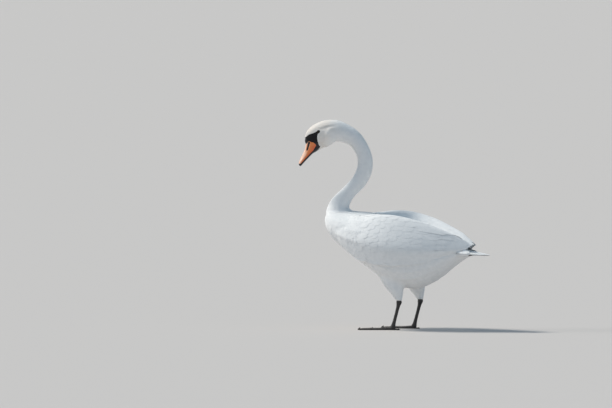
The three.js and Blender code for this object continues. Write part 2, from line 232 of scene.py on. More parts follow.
def uv_map(mesh, name, per_vertex):
    loops = indices(mesh.loops, "vertex_index", 1).ravel()
    layer = mesh.uv_layers.new(name=name)
    layer.uv.foreach_set("vector", np.asarray(per_vertex, np.float32)[loops].ravel())


def grid_quads(rows, columns, wrap=False):
    """Quads over a grid of rows by columns of vertices, closed round the columns if wrap is set."""
    r, c = np.meshgrid(np.arange(rows - 1), np.arange(columns if wrap else columns - 1), indexing="ij")
    d = (c + 1) % columns
    near, far = r * columns, (r + 1) * columns
    return np.stack([near + c, near + d, far + d, far + c], -1).reshape(-1, 4)


def joined_nodes(names):
    """The vertices and triangles of several CAD nodes, and which node each triangle is of."""
    co, tris, owner = [], [], []
    base = 0
    for k, name in enumerate(names):
        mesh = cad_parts[name].data
        co.append(numbers(mesh.vertices, "co", 3))
        tris.append(triangles(mesh) + base)
        owner.append(np.full(len(tris[-1]), k))
        base += len(co[-1])
    return np.vstack(co), np.vstack(tris), np.concatenate(owner)


def tree_of(co, faces):
    return BVHTree.FromPolygons([tuple(v) for v in co.tolist()], faces.tolist())


def remeshed(name, co, tris, voxel):
    """One closed mesh of even quads round several bodies."""
    rough = in_scene("rough", mesh_of("rough", co, tris))
    voxels = rough.modifiers.new("voxels", "REMESH")
    voxels.mode = "VOXEL"
    voxels.voxel_size = voxel
    mesh = bpy.data.meshes.new_from_object(rough.evaluated_get(bpy.context.evaluated_depsgraph_get()))
    mesh.name = name
    bpy.data.objects.remove(rough)
    return mesh


def pairs_of(mesh):
    return indices(mesh.edges, "vertices", 2)


def evened(values, edges, rounds, share=1.0, swell=0.0):
    """Values of vertices, each drawn towards the mean of its neighbours' in every round.

    swell above 0.5 gives back what the drawing in shrinks, so that only short bumps go.
    """
    a, b = edges.T
    values = np.asarray(values, float)
    flat = values.reshape(len(values), -1).copy()
    count = np.maximum(np.bincount(a, minlength=len(flat)) + np.bincount(b, minlength=len(flat)), 1)
    share = np.broadcast_to(share, len(flat))
    for _ in range(rounds):
        for pull in (0.5, -swell) if swell else (0.5,):
            for k in range(flat.shape[1]):
                column = flat[:, k]
                total = np.bincount(a, column[b], len(flat)) + np.bincount(b, column[a], len(flat))
                flat[:, k] = column + pull * share * (total / count - column)
    return flat.reshape(values.shape)


def nearest(tree, points):
    """The nearest points of a tree's surface, the normals there and the faces."""
    spots = np.empty((len(points), 3))
    normals = np.empty((len(points), 3))
    faces = np.empty(len(points), int)
    find = tree.find_nearest
    for i, p in enumerate(points.tolist()):
        spot, normal, face, _ = find(p)
        spots[i] = spot
        normals[i] = normal
        faces[i] = face
    return spots, normals, faces


# ---------------- hull: the plumage's outline, made smooth

WINGS = ["wing_left", "wing_right"]
THIGHS = ["thigh_left", "thigh_right"]
EYES = ["eye_left", "eye_right"]
FLESH = ["head", "neck_crest", "neck_middle", "neck_root", "trunk", "tail", *WINGS, *THIGHS]
NODES = [*FLESH, "bill_upper", "bill_lower", "bill_knob", *EYES]
HULL_VOXEL = 0.0028
SWELL = 0.52  # how much each round of smoothing gives back
ROUNDS_ALL, ROUNDS_BODY, ROUNDS_CREASE, ROUNDS_CHIN = 16, 110, 70, 25

THIGH_TREE = tree_of(*joined_nodes(THIGHS)[:2])
TRUNK_TREE = tree_of(*joined_nodes(["trunk"])[:2])
THIGHS_BELOW = 0.24
CREASE_REACH = 0.004, 0.022  # metres from thigh and trunk: all crease up to the first, none from the second


def distance(tree, points):
    return np.linalg.norm(nearest(tree, points)[0] - points, axis=1)


def thigh_crease(co):
    """1 in the corner between thigh and belly, where feathers bridge it, falling to 0 around."""
    share = np.zeros(len(co))
    low = np.flatnonzero(co[:, 2] < THIGHS_BELOW)
    thigh, trunk = (1 - step(distance(tree, co[low]), *CREASE_REACH) for tree in (THIGH_TREE, TRUNK_TREE))
    share[low] = thigh * trunk
    return share


CHIN_OUT, CHIN_TOP, CHIN_FOOT = (-92, -72), (655, 672), (610, 625)  # where the chin fades into the rest


def chin(co):
    """1 on the chin and throat, which have no sharp shapes to keep, falling to 0 around."""
    out, z, _ = head_coords(co)
    return step(out, *CHIN_OUT) * (1 - step(z, *CHIN_TOP)) * step(z, *CHIN_FOOT)


# Bumps and hollows of the head's sides, in mm: out, z, slope, reach along, reach across and height.
RELIEF = [(-42, 722, 0.25, 30, 7, -2.6), (-42, 697, 1.1, 13, 15, 4.2),
          (-52, 673, -0.3, 18, 8, -1.0), (-93, 715, 0.7, 18, 8, 1.0)]
RELIEF_SIDE = 6, 15  # mm off the head's middle plane, over which the relief grows
CHIN_FROM, CHIN_TO, CHIN_DROP = -48.0, -74.0, 11.0  # where the chin's drop starts and is whole, and its depth
DROP_END, DROP_TOP, CHIN_HALF = (74, 79), (650, 668), 16  # where the drop fades forward, up and to the sides


def moulded(co):
    """Points of the head moved into temple, cheek and brow, and the chin drawn down to the lower jaw."""
    out, z, side = head_coords(co)
    swell = np.zeros(len(co))
    for at_out, at_z, slope, along, across, height in RELIEF:
        off = z - at_z - slope * (out - at_out)
        swell += height * np.exp(-(((out - at_out) / along) ** 2) - (off / across) ** 2)
    swell *= step(np.abs(side), *RELIEF_SIDE) * np.sign(side)
    drop = CHIN_DROP * np.clip((CHIN_FROM - out) / (CHIN_FROM - CHIN_TO), 0, 1) * (1 - step(-out, *DROP_END))
    drop = drop * (1 - step(z, *DROP_TOP)) * step(z, *CHIN_FOOT)
    drop = drop * (1 - 0.6 * np.clip(np.abs(side) / CHIN_HALF, 0, 1) ** 2)
    return co + (swell[:, None] * ACROSS - drop[:, None] * np.array([0, 0, 1.0])) * MM


class Surface:
    """Several CAD nodes as one smooth closed surface, on which points can be laid."""

    def __init__(self, names):
        co, tris, _ = joined_nodes(names)
        self.mesh = remeshed("hull", co, tris, HULL_VOXEL)
        self.edges = pairs_of(self.mesh)
        co = numbers(self.mesh.vertices, "co", 3)
        self.at, _ = along_line(co)
        co = evened(co, self.edges, ROUNDS_ALL, swell=SWELL)
        behind_face = np.clip((self.at - 60) / 120, 0.08, 1)
        co = evened(co, self.edges, ROUNDS_BODY, np.maximum(behind_face, chin(co)), swell=SWELL)
        co = evened(co, self.edges, ROUNDS_CREASE, thigh_crease(co))
        self.co = evened(moulded(co), self.edges, ROUNDS_CHIN, 0.8 * chin(co))
        move_points(self.mesh, self.co)
        self.normals = numbers(self.mesh.vertices, "normal", 3)
        self.tris = triangles(self.mesh)
        self.tree = tree_of(self.co, self.tris)

    def under(self, points):
        """The nearest points of the surface, and its smooth normals there."""
        spots, _, faces = nearest(self.tree, points)
        corners = self.co[self.tris[faces]]
        weight = 1 / np.maximum(np.linalg.norm(corners - spots[:, None], axis=2), 1e-6)
        return spots, unit((self.normals[self.tris[faces]] * weight[..., None]).sum(1))


CAD_CO, CAD_TRIS, CAD_OWNER = joined_nodes(NODES)
CAD_TREE = tree_of(CAD_CO, CAD_TRIS)
HULL = Surface(NODES)
BODY = Surface([name for name in NODES if name not in WINGS])


def owners(points):
    """Which CAD node each point lies on, as an index in NODES."""
    return CAD_OWNER[nearest(CAD_TREE, points)[2]]


def is_horn(points, owner):
    """Whether points lie on bill, knob or eye, and not on the chin's feathers round the lower jaw's base."""
    return (owner >= len(FLESH)) & (head_coords(points)[0] < CHIN_TO)


def of_nodes(owner, names):
    return np.isin(owner, [NODES.index(n) for n in names])


# ---------------- markings of the head, in its plane

# Outlines, as (out, z), of the bare black face and of the bill's orange.
MASK = [(-130, 683), (-120, 687), (-114, 692.5), (-107, 697), (-97, 700), (-87, 704), (-78, 709.5),
        (-71, 709), (-71.5, 703), (-76.5, 698), (-78.5, 691), (-78.3, 682), (-76.8, 672), (-74.5, 662),
        (-73.5, 653), (-74, 644), (-78, 637), (-100, 620), (-142, 580), (-160, 610), (-140, 680)]
ORANGE = [(-107, 677), (-98, 671), (-85, 662), (-83, 657), (-93, 640), (-116.5, 615.5), (-129, 602),
          (-138, 592), (-145, 591), (-152, 588), (-156, 604), (-140, 626), (-128, 645), (-122, 660),
          (-117, 664), (-112, 669)]
EYE_OUT, EYE_Z, EYE_SIDE, EYE_RADIUS = -74.0, 707.0, 24.4, 6.4
LID_OUTER, LID_STANDS = 6.0, 3  # radius of the black ring round the eye, and how far out its middle is
MARK_REACH = 9  # mm from the bare face up to which it is written
EYE_SLANT, EYE_NARROW = math.radians(30), 1.1  # the long axis of the lids' opening, and how much longer it is


def outside(out, z, polygon):
    """Distance in mm from points of the head's plane to a polygon's edge, below zero inside it."""
    p = np.stack([out, z], -1)
    poly = np.asarray(polygon, float)
    best = np.full(len(p), 1e9)
    inside = np.zeros(len(p), bool)
    for a, b in zip(poly, np.roll(poly, -1, axis=0)):
        d = b - a
        t = np.clip(((p - a) @ d) / (d @ d), 0, 1)
        best = np.minimum(best, np.linalg.norm(p - a - t[:, None] * d, axis=1))
        level = a[0] + (b[0] - a[0]) * (p[:, 1] - a[1]) / (b[1] - a[1] + 1e-12)
        inside ^= ((a[1] > p[:, 1]) != (b[1] > p[:, 1])) & (p[:, 0] < level)
    return np.where(inside, -best, best)


def from_mask(p):
    """Distance in mm to the bare black face, below zero on it."""
    out, z, side = head_coords(p)
    flat = outside(out, z, MASK)
    eye = np.stack([out - EYE_OUT, z - EYE_Z, np.abs(side) - EYE_SIDE - LID_STANDS], -1)
    return np.minimum(flat, np.linalg.norm(eye, axis=-1) - LID_OUTER)


def marked(mesh, p):
    """Writes what skin and plumage share: mm from the bare face, and a cream tint that is the crown's own
    stain and, over the face and head, partly painted warm bounce light.
    """
    out, z, _ = head_coords(p)
    float_attribute(mesh, "from_face", np.clip(from_mask(p), -MARK_REACH, MARK_REACH))
    crown = step(z, 690, 722) * (1 - step(out, -60, 20)) + 0.5 * step(-out, 84, 104)
    # Over the face and head the cream is partly painted warm bounce light, which warms the shade of cheeks
    # and chin.
    face = 0.7 * step(-out, 15, 60) * step(z, 600, 640)
    float_attribute(mesh, "cream_and_bounce", np.maximum(np.clip(crown, 0, 1) * step(z, 660, 690), face))


# ---------------- materials

def material(name, colour, roughness, **inputs):
    m = bpy.data.materials.new(name)
    m.use_nodes = True
    shader = m.node_tree.nodes["Principled BSDF"]
    shader.inputs["Base Color"].default_value = (*colour, 1)
    shader.inputs["Roughness"].default_value = roughness
    for key, value in inputs.items():
        shader.inputs[key.replace("_", " ")].default_value = value
    return m


def node(m, kind, **values):
    n = m.node_tree.nodes.new(kind)
    for key, value in values.items():
        if hasattr(n, key):
            setattr(n, key, value)
        else:
            n.inputs[key.replace("_", " ")].default_value = value
    return n


def link(m, a, b):
    m.node_tree.links.new(a, b)


def into_shader(m, socket, name="Base Color"):
    link(m, socket, m.node_tree.nodes["Principled BSDF"].inputs[name])


def in_place(m, scale):
    """Object coordinates, scaled: one number for all three axes or three numbers."""
    mapping = node(m, "ShaderNodeMapping")
    mapping.inputs["Scale"].default_value = scale if isinstance(scale, tuple) else (scale,) * 3
    link(m, node(m, "ShaderNodeTexCoord").outputs["Object"], mapping.inputs["Vector"])
    return mapping.outputs["Vector"]


def noise(m, scale, detail=3.0):
    n = node(m, "ShaderNodeTexNoise", Scale=1.0, Detail=detail, Roughness=0.55)
    link(m, in_place(m, scale), n.inputs["Vector"])
    return n.outputs["Fac"]


def attribute(m, name):
    return node(m, "ShaderNodeAttribute", attribute_name=name).outputs["Fac"]


def maths(m, operation, *values):
    """The result of a Math node on numbers and sockets."""
    n = node(m, "ShaderNodeMath", operation=operation)
    for value, socket in zip(values, n.inputs):
        if isinstance(value, (int, float)):
            socket.default_value = value
        else:
            link(m, value, socket)
    return n.outputs[0]


def ramp(m, source, low, high):
    """0 at low and 1 at high of a value, smooth between."""
    r = node(m, "ShaderNodeMapRange", interpolation_type="SMOOTHSTEP", From_Min=low, From_Max=high)
    link(m, source, r.inputs["Value"])
    return r.outputs["Result"]


def mixed(m, factor, a, b):
    """Colour a where the factor is 0 and b where it is 1; each is a colour or a socket."""
    mix = node(m, "ShaderNodeMix", data_type="RGBA")
    link(m, factor, mix.inputs["Factor"])
    for value, name in ((a, "A"), (b, "B")):
        socket = next(s for s in mix.inputs if s.name == name and s.type == "RGBA")
        if isinstance(value, tuple):
            socket.default_value = (*value, 1)
        else:
            link(m, value, socket)
    return next(s for s in mix.outputs if s.type == "RGBA")


def mottled(m, a, b, scale, detail=3.0):
    """Two colours in soft patches."""
    return mixed(m, ramp(m, noise(m, scale, detail), 0.3, 0.7), a, b)


def bumped(m, *layers):
    """Bumps one on another, each a height, a strength and a distance in metres, into the shader's normal."""
    normal = None
    for height, strength, distance in layers:
        b = node(m, "ShaderNodeBump", Strength=strength, Distance=distance)
        link(m, height, b.inputs["Height"])
        if normal:
            link(m, normal, b.inputs["Normal"])
        normal = b.outputs["Normal"]
    into_shader(m, normal, "Normal")


WHITE = (0.89, 0.886, 0.878)
WHITE_SHADE = (0.835, 0.836, 0.833)
# The crown's cream stain, also used over the face as painted warm bounce light.
CREAM_AND_WARM_BOUNCE = (0.89, 0.81, 0.73)
BLACK = (0.007, 0.0065, 0.009)
BARB_SLANT = 0.9
SHAFT_HALF = 0.0008, 0.0002  # metres from a vane's middle: none and all of its shaft


def bare_face(m):
    return ramp(m, attribute(m, "from_face"), 0.25, -0.25)


def plumage_material(name, barb_rate):
    """White feather, faintly mottled, with the markings, and a shaft and barbs unless barb_rate is 0."""
    m = material(name, WHITE, 0.75, Sheen_Weight=0.1, Sheen_Roughness=0.5, Specular_IOR_Level=0.25)
    # The cream is the crown's own stain and, over the face, partly painted warm bounce light.
    stain_and_bounce = maths(m, "MULTIPLY", attribute(m, "cream_and_bounce"), ramp(m, noise(m, 60), -0.4, 0.8))
    warm = mixed(m, stain_and_bounce, mottled(m, WHITE_SHADE, WHITE, 70, 4.0), CREAM_AND_WARM_BOUNCE)
    into_shader(m, mixed(m, bare_face(m), warm, BLACK))
    if not barb_rate:
        bumped(m, (noise(m, 1100), 0.2, 0.0002))
        return m
    split = node(m, "ShaderNodeSeparateXYZ")
    link(m, node(m, "ShaderNodeUVMap", uv_map="Vane").outputs["UV"], split.inputs["Vector"])
    off = maths(m, "ABSOLUTE", split.outputs["X"])
    slanted = maths(m, "MULTIPLY_ADD", off, -BARB_SLANT, split.outputs["Y"])
    barbs = maths(m, "SINE", maths(m, "MULTIPLY", slanted, barb_rate))
    shaft = ramp(m, off, *SHAFT_HALF)
    bumped(m, (barbs, 0.11, 0.0002), (shaft, 0.3, 0.0003))
    return m


BARB_RATE, BARB_RATE_LARGE = 5200.0, 3900.0  # radians per metre
FEATHER_SMALL = plumage_material("feather_small", 0.0)
FEATHER = plumage_material("feather", BARB_RATE)
FEATHER_LARGE = plumage_material("feather_large", BARB_RATE_LARGE)


def skin_material():
    """Bare black face, wrinkled, and white down under the feathers."""
    m = material("skin", WHITE_SHADE, 0.5, Specular_IOR_Level=0.22)
    into_shader(m, mixed(m, bare_face(m), mottled(m, WHITE_SHADE, WHITE, 200), BLACK))
    bumped(m, (noise(m, 1400, 4.0), 0.5, 0.0004))
    return m


SKIN = skin_material()


# ---------------- skin

# mm along the bird's line, and the length of the small feathers there.
LENGTH_AT = [(0, 4.2), (60, 5.0), (110, 6.5), (160, 8.5), (260, 11), (360, 13), (430, 16), (480, 22),
             (540, 30), (640, 38), (760, 42), (900, 46), (1100, 50)]
THIGH_LENGTH = 14.0
TAIL_SIDE_LENGTH = 26.0
TAIL_SIDE_X, TAIL_SIDE_Z = (430, 490), (0.240, 0.262)  # over which the length turns to that
WING_LENGTHS, WING_FROM, WING_GROWTH = (20, 36), 520, 0.07  # of the small feathers on the wing
SKIN_BARE, SKIN_UNDER_HORN, SKIN_UNDER_WING = 0.4, 2.2, 5.0  # mm under the hull
THINNEST_SHARE = 0.35  # the skin lies no deeper than this share of the body's thickness there
THICKEST = 100.0
LID_OPENING, LID_CREST, LID_END = 5.2, 5.6, 6.9  # from the eye's middle
LID_RAISE, LID_FOLD = 0.6, 0.25  # of the lid's rim over the eyeball, and of its crest over the rim
EYE_SUNK = 1.6  # how far the skin lies under the eyeball's surface
FACE_SIDE = 27.3  # the most that the face stands out beside the eye
OFF_MIDDLE = 12  # a point further than this from the head's plane is on one of its sides
WING_SKIN_TO = 400.0, 470.0  # the bird's x from which, and by which, the skin leaves the wing for the rump


def contour_length(points, at, owner):
    """The length of the small feathers at points, in mm. It grows slowly away from thighs and on wings."""
    length = np.interp(at, *np.array(LENGTH_AT, float).T)
    beside_tail = step(own_x(points), *TAIL_SIDE_X) * step(points[:, 2], *TAIL_SIDE_Z)
    length = length + (TAIL_SIDE_LENGTH - length) * beside_tail
    wing = of_nodes(owner, WINGS)
    length = np.where(wing, np.clip(22 + (at - WING_FROM) * WING_GROWTH, *WING_LENGTHS), length)
    low = np.flatnonzero((points[:, 2] < THIGHS_BELOW) & ~wing)
    length[low] = np.minimum(length[low], THIGH_LENGTH + distance(THIGH_TREE, points[low]) / MM * 0.5)
    return length


def coat_depth(length):
    """How far the skin lies under the tips of feathers of a length, in mm."""
    return 0.25 + 0.09 * length


def thickness(surface):
    """How thick a body is under each point of its surface, in mm, up to THICKEST."""
    got = np.full(len(surface.co), THICKEST)
    inside = surface.co - surface.normals * 0.5 * MM
    for i, (p, d) in enumerate(zip(inside.tolist(), (-surface.normals).tolist())):
        hit = surface.tree.ray_cast(p, d, THICKEST * MM)
        if hit[0] is not None:
            got[i] = hit[3] / MM + 0.5
    return got


def lids(p):
    """Points of the face moved into a lid round each eye, and behind the eyeball inside it."""
    out, z, side = head_coords(p)
    along = (out - EYE_OUT) * math.cos(EYE_SLANT) + (z - EYE_Z) * math.sin(EYE_SLANT)
    over = (z - EYE_Z) * math.cos(EYE_SLANT) - (out - EYE_OUT) * math.sin(EYE_SLANT)
    r = np.hypot(out - EYE_OUT, z - EYE_Z)
    r = r + (np.hypot(along, over * EYE_NARROW) - r) * (1 - step(r, LID_CREST, LID_END))
    ball = EYE_SIDE + np.sqrt(np.maximum(EYE_RADIUS**2 - np.minimum(r, EYE_RADIUS) ** 2, 0))
    rim = EYE_SIDE + math.sqrt(EYE_RADIUS**2 - LID_OPENING**2) + LID_RAISE
    face = np.abs(side)
    fold = rim + LID_FOLD * np.sin(np.clip((r - LID_OPENING) / (LID_CREST - LID_OPENING), 0, 1) * math.pi)
    fold = fold + (np.minimum(face, FACE_SIDE) - fold) * step(r, LID_CREST, LID_END)
    sunk = ball - EYE_SUNK
    inner = sunk + (rim - sunk) * step(r, LID_OPENING - 0.7, LID_OPENING)
    wanted = np.where(r < LID_OPENING, inner, fold)
    moves = (r < LID_END) & (face > OFF_MIDDLE)
    return p + np.where(moves, (wanted - face) * np.sign(side), 0)[:, None] * ACROSS * MM


def refined(mesh, wanted, rounds):
    """Splits the edges of a mesh whose middles are wanted, in several rounds."""
    bm = bmesh.new()
    bm.from_mesh(mesh)
    for k in range(rounds):
        edges = list(bm.edges)
        middles = np.array([(e.verts[0].co + e.verts[1].co) / 2 for e in edges])
        near = [edges[i] for i in np.flatnonzero(wanted(middles, k))]
        bmesh.ops.subdivide_edges(bm, edges=near, cuts=1, use_grid_fill=True)
    bmesh.ops.triangulate(bm, faces=[f for f in bm.faces if len(f.verts) > 4])
    bm.to_mesh(mesh)
    bm.free()


def make_skin():
    owner = owners(HULL.co)
    bare = 1 - step(from_mask(HULL.co), -1.0, 1.5)
    depth = coat_depth(contour_length(HULL.co, HULL.at, owner)) * (1 - bare) + SKIN_BARE * bare
    depth = np.where(of_nodes(owner, WINGS + ["tail"]), SKIN_UNDER_WING, depth)
    depth = np.where(is_horn(HULL.co, owner) & ~of_nodes(owner, EYES), SKIN_UNDER_HORN, depth)
    depth = np.minimum(depth, thickness(HULL) * THINNEST_SHARE)
    depth = evened(depth, HULL.edges, 6)[:, None]
    co = HULL.co - HULL.normals * depth * MM
    # The end of a wing is nothing but feathers, so there the skin draws in under the rump's.
    spots, normals = BODY.under(HULL.co)
    tucked = step(own_x(HULL.co), *WING_SKIN_TO) * of_nodes(owner, WINGS)
    tucked = evened(tucked, HULL.edges, 4)[:, None]
    co = co + (spots - normals * (depth + SKIN_UNDER_WING) * MM - co) * tucked
    mesh = HULL.mesh.copy()
    mesh.name = "skin"
    move_points(mesh, co)

    def near_eyes_and_mask(points, k):
        out, z, side = head_coords(points)
        eye = np.hypot(out - EYE_OUT, z - EYE_Z)
        return ((eye < 14 - 3 * k) & (np.abs(side) > OFF_MIDDLE)) | (np.abs(from_mask(points)) < 2.5 - k)

    refined(mesh, near_eyes_and_mask, 2)
    co = lids(numbers(mesh.vertices, "co", 3))
    move_points(mesh, co)
    marked(mesh, co)
    obj = new_object("skin", mesh, SKIN)
    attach(obj, "root")
    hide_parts(*FLESH)


make_skin()


# ---------------- feathers that lie on the hull

CANDIDATES = 520000
PATCH = 0.003  # size of a feather on the unwrap
UNWRAP_MARGIN = 0.02
SOFT = 0.75  # share of the hull's own normal in a small feather's shading, which keeps the coat soft


def spread(points, gaps):
    """Which points to keep, in order, so that none lies nearer to a kept one than its own gap."""
    least = gaps.min()
    levels = np.ceil(np.log2(gaps / least) - 1e-9).astype(int)
    sizes = least * 2.0 ** np.arange(levels.max() + 1)
    cells = [np.floor(points / s).astype(int).tolist() for s in sizes]
    grids = [{} for _ in sizes]
    around = [(i, j, k) for i in (-1, 0, 1) for j in (-1, 0, 1) for k in (-1, 0, 1)]
    kept = []
    squares = (gaps**2).tolist()
    spots = points.tolist()
    for i, level in enumerate(levels.tolist()):
        x, y, z = cells[level][i]
        grid = grids[level]
        a, b, c = spots[i]
        limit = squares[i]
        free = True
        for dx, dy, dz in around:
            for p, q, r in grid.get((x + dx, y + dy, z + dz), ()):
                if (p - a) ** 2 + (q - b) ** 2 + (r - c) ** 2 < limit:
                    free = False
                    break
            if not free:
                break
        if free:
            kept.append(i)
            for cell, g in zip(cells, grids):
                g.setdefault(tuple(cell[i]), []).append((a, b, c))
    return np.array(kept)


def candidates(density):
    """Random points of the hull, thick where density is high."""
    corners = HULL.co[HULL.tris]
    area = np.linalg.norm(np.cross(corners[:, 1] - corners[:, 0], corners[:, 2] - corners[:, 0]), axis=1) / 2
    weight = area * density[HULL.tris].mean(1)
    tri = RNG.choice(len(HULL.tris), CANDIDATES, p=weight / weight.sum())
    a, b = RNG.random((2, CANDIDATES))
    over = a + b > 1
    a[over], b[over] = 1 - a[over], 1 - b[over]
    c = corners[tri]
    return c[:, 0] + (c[:, 1] - c[:, 0]) * a[:, None] + (c[:, 2] - c[:, 0]) * b[:, None]


def unwrapped(roots):
    """The roots' places on an unwrap of the skin: round the bird's line, and along it."""
    at, _ = along_line(roots)
    i = np.clip(np.searchsorted(LINE_AT, at), 1, len(LINE) - 1)
    up = unit(np.cross(ACROSS, LINE_TANGENT[i]))
    rel = roots - LINE[i]
    turn = np.arctan2(rel @ ACROSS, (rel * up).sum(1))
    flat = np.stack([turn, at], -1)
    low, high = flat.min(0), flat.max(0)
    return UNWRAP_MARGIN + (flat - low) / np.maximum(high - low, 1e-9) * (1 - 2 * UNWRAP_MARGIN)


def vane_mesh(name, rings, tips, roots, flat_rings, flat_tips, across, outward, soft, finish):
    """Closed vanes: n feathers by s stations by r vertices in a ring, drawn to a tip each.

    flat_rings and flat_tips hold each vertex's place on its own vane, in metres across and along it. The
    first across vertices of a ring are its upper side. outward holds the coat's own normals at the vertices.
    """
    n, s, r, _ = rings.shape
    per = s * r + 1
    co = np.concatenate([rings.reshape(n, s * r, 3), tips[:, None]], 1).reshape(-1, 3)
    ring = np.arange(r)
    end = np.stack([(s - 1) * r + ring, (s - 1) * r + (ring + 1) % r, np.full(r, s * r)], -1)
    root = np.stack([np.zeros(r - 2, int), ring[2:], ring[1:-1]], -1)
    base = (np.arange(n) * per)[:, None, None]
    quads = (grid_quads(s, r, wrap=True)[None] + base).reshape(-1, 4)
    tris = (np.concatenate([end, root])[None] + base).reshape(-1, 3)
    mesh = mesh_of(name, co, quads, tris)
    mesh.shade_smooth()
    column = np.concatenate([np.tile(ring, s), [-1]])
    ends = column[pairs_of(mesh) % per]
    sharp = np.isin(ends, (0, -1)).all(1) | np.isin(ends, (across - 1, -1)).all(1)
    mesh.attributes.new("sharp_edge", "BOOLEAN", "EDGE").data.foreach_set("value", sharp)
    loops = indices(mesh.loops, "vertex_index", 1).ravel()
    corner = numbers(mesh.corner_normals, "vector", 3)
    coat = outward.reshape(-1, 3)[loops]
    upper = (corner * coat).sum(1) > 0.3
    corner[upper] = unit(corner[upper] * (1 - soft) + coat[upper] * soft)
    mesh.normals_split_custom_set(corner.astype(np.float32))
    flat = np.concatenate([flat_rings.reshape(n, s * r, 2), flat_tips[:, None]], 1)
    longest = np.abs(flat).max((1, 2), keepdims=True)
    patches = unwrapped(roots)[:, None] + flat / longest * PATCH * np.array([0.5, 1.0])
    uv_map(mesh, "OFBake", patches.reshape(-1, 2))
    uv_map(mesh, "Vane", flat.reshape(-1, 2))
    marked(mesh, co)
    mesh.materials.append(finish)
    obj = in_scene(name, mesh)
    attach(obj, "root")


# By the number of vertices across a vane: the shares of its length with a ring, and its outline.
STATIONS = {3: np.array([0, 0.36, 0.7, 0.9, 1.0]), 5: np.array([0, 0.3, 0.56, 0.76, 0.9, 0.975, 1.0])}
OUTLINE = {3: [0.45, 0.95, 1.0, 0.66, 0], 5: [0.35, 0.85, 1.0, 0.95, 0.72, 0.38, 0]}
ROOT_CURVE = 2.4  # how soon a feather leaves the skin and lies along the coat
CAMBER = 0.03


def contour_feathers(name, surface, roots, lengths, widths, headings, across, lift):
    """Feathers that grow from the skin and lie back along a surface, the tips at its level.

    lift is how far each tip stands over the surface, in mm; across is 3 or 5 vertices over a vane.
    """
    stations = STATIONS[across]
    n, s = len(roots), len(stations)
    u = np.linspace(-1, 1, across)
    depth = coat_depth(lengths)
    rings = np.empty((n, s - 1, across, 3))
    outward = np.empty((n, (s - 1) * across + 1, 3))
    flat = np.empty((n, s - 1, across, 2))
    p, normal = surface.under(roots)
    d = laid(headings, normal)
    tilt = RNG.normal(0, 0.03, n)
    for k, t in enumerate(stations):
        if k:
            p, normal = surface.under(p + d * ((t - stations[k - 1]) * lengths * MM)[:, None])
            d = laid(d, normal)
        rise = -depth * (1 - t) ** ROOT_CURVE + lift * t**3 + 0.2 * t
        side = np.cross(normal, d)
        if k == s - 1:
            tips = p + normal * (rise * MM)[:, None]
            outward[:, -1] = normal
            continue
        for j, share in enumerate(u):
            off = share * OUTLINE[across][k] * widths / 2
            spot, up = surface.under(p + side * (off * MM)[:, None]) if share else (p, normal)
            camber = -CAMBER * widths * share**2 + tilt * off
            rings[:, k, j] = spot + up * ((rise + camber) * MM)[:, None]
            outward[:, k * across + j] = up
            flat[:, k, j] = np.stack([off, t * lengths], -1) * MM
    flat_tips = np.stack([np.zeros(n), lengths * MM], -1)
    finish = FEATHER_SMALL if across == 3 else FEATHER
    vane_mesh(name, rings, tips, roots, flat, flat_tips, across, outward, SOFT, finish)


# Pieces of the coat: from and to, in mm along the bird's line, and the vertices across a vane.
ZONES = [("coat_face", 0, 75, 3), ("coat_head", 75, 165, 3), ("coat_neck_high", 165, 310, 3),
         ("coat_neck_low", 310, 470, 3), ("coat_breast", 470, 590, 5), ("coat_front", 590, 700, 5),
         ("coat_middle", 700, 840, 5), ("coat_rear", 840, 1300, 5)]
WING_ROWS_FROM = 205.0  # the bird's x behind which the wing has rows of large feathers instead
TAIL_FAN_FROM, TAIL_END_FROM = 520.0, 560.0  # and behind which the tail's top, then all of it, has its fan
TAIL_FAN_ABOVE, TAIL_FAN_HALF = 0.270, 0.030
CORNER_DEPTH = 0.0012  # hull and body lie further apart than this where the hull bridges a corner
RUFFLED_FROM, RUFFLED_TO = (500, 560), (760, 900)  # along the bird's line
# Feathers that go under the wings: from where on the bird's line, and then by x on the back and on the rump.
UNDER_FROM, UNDER_BACK, UNDER_BACK_ABOVE, UNDER_RUMP = 480, 185, 0.33, 350


def contour_gap(length):
    """The distance between the roots of feathers of a length, in mm."""
    return length * np.interp(length, [5, 8, 12, 22, 40], [0.26, 0.22, 0.195, 0.18, 0.16])


def coated(roots, owner):
    """Whether contour feathers grow at a point: not on horn or bare face, nor under the large feathers."""
    x = own_x(roots)
    flesh = ~is_horn(roots, owner) & (from_mask(roots) > 0.1)
    wing = of_nodes(owner, WINGS) & (x > WING_ROWS_FROM)
    top = (roots[:, 2] > TAIL_FAN_ABOVE) & (np.abs(roots[:, 1]) < TAIL_FAN_HALF)
    return flesh & ~wing & ~((x > TAIL_FAN_FROM) & top) & (x <= TAIL_END_FROM)


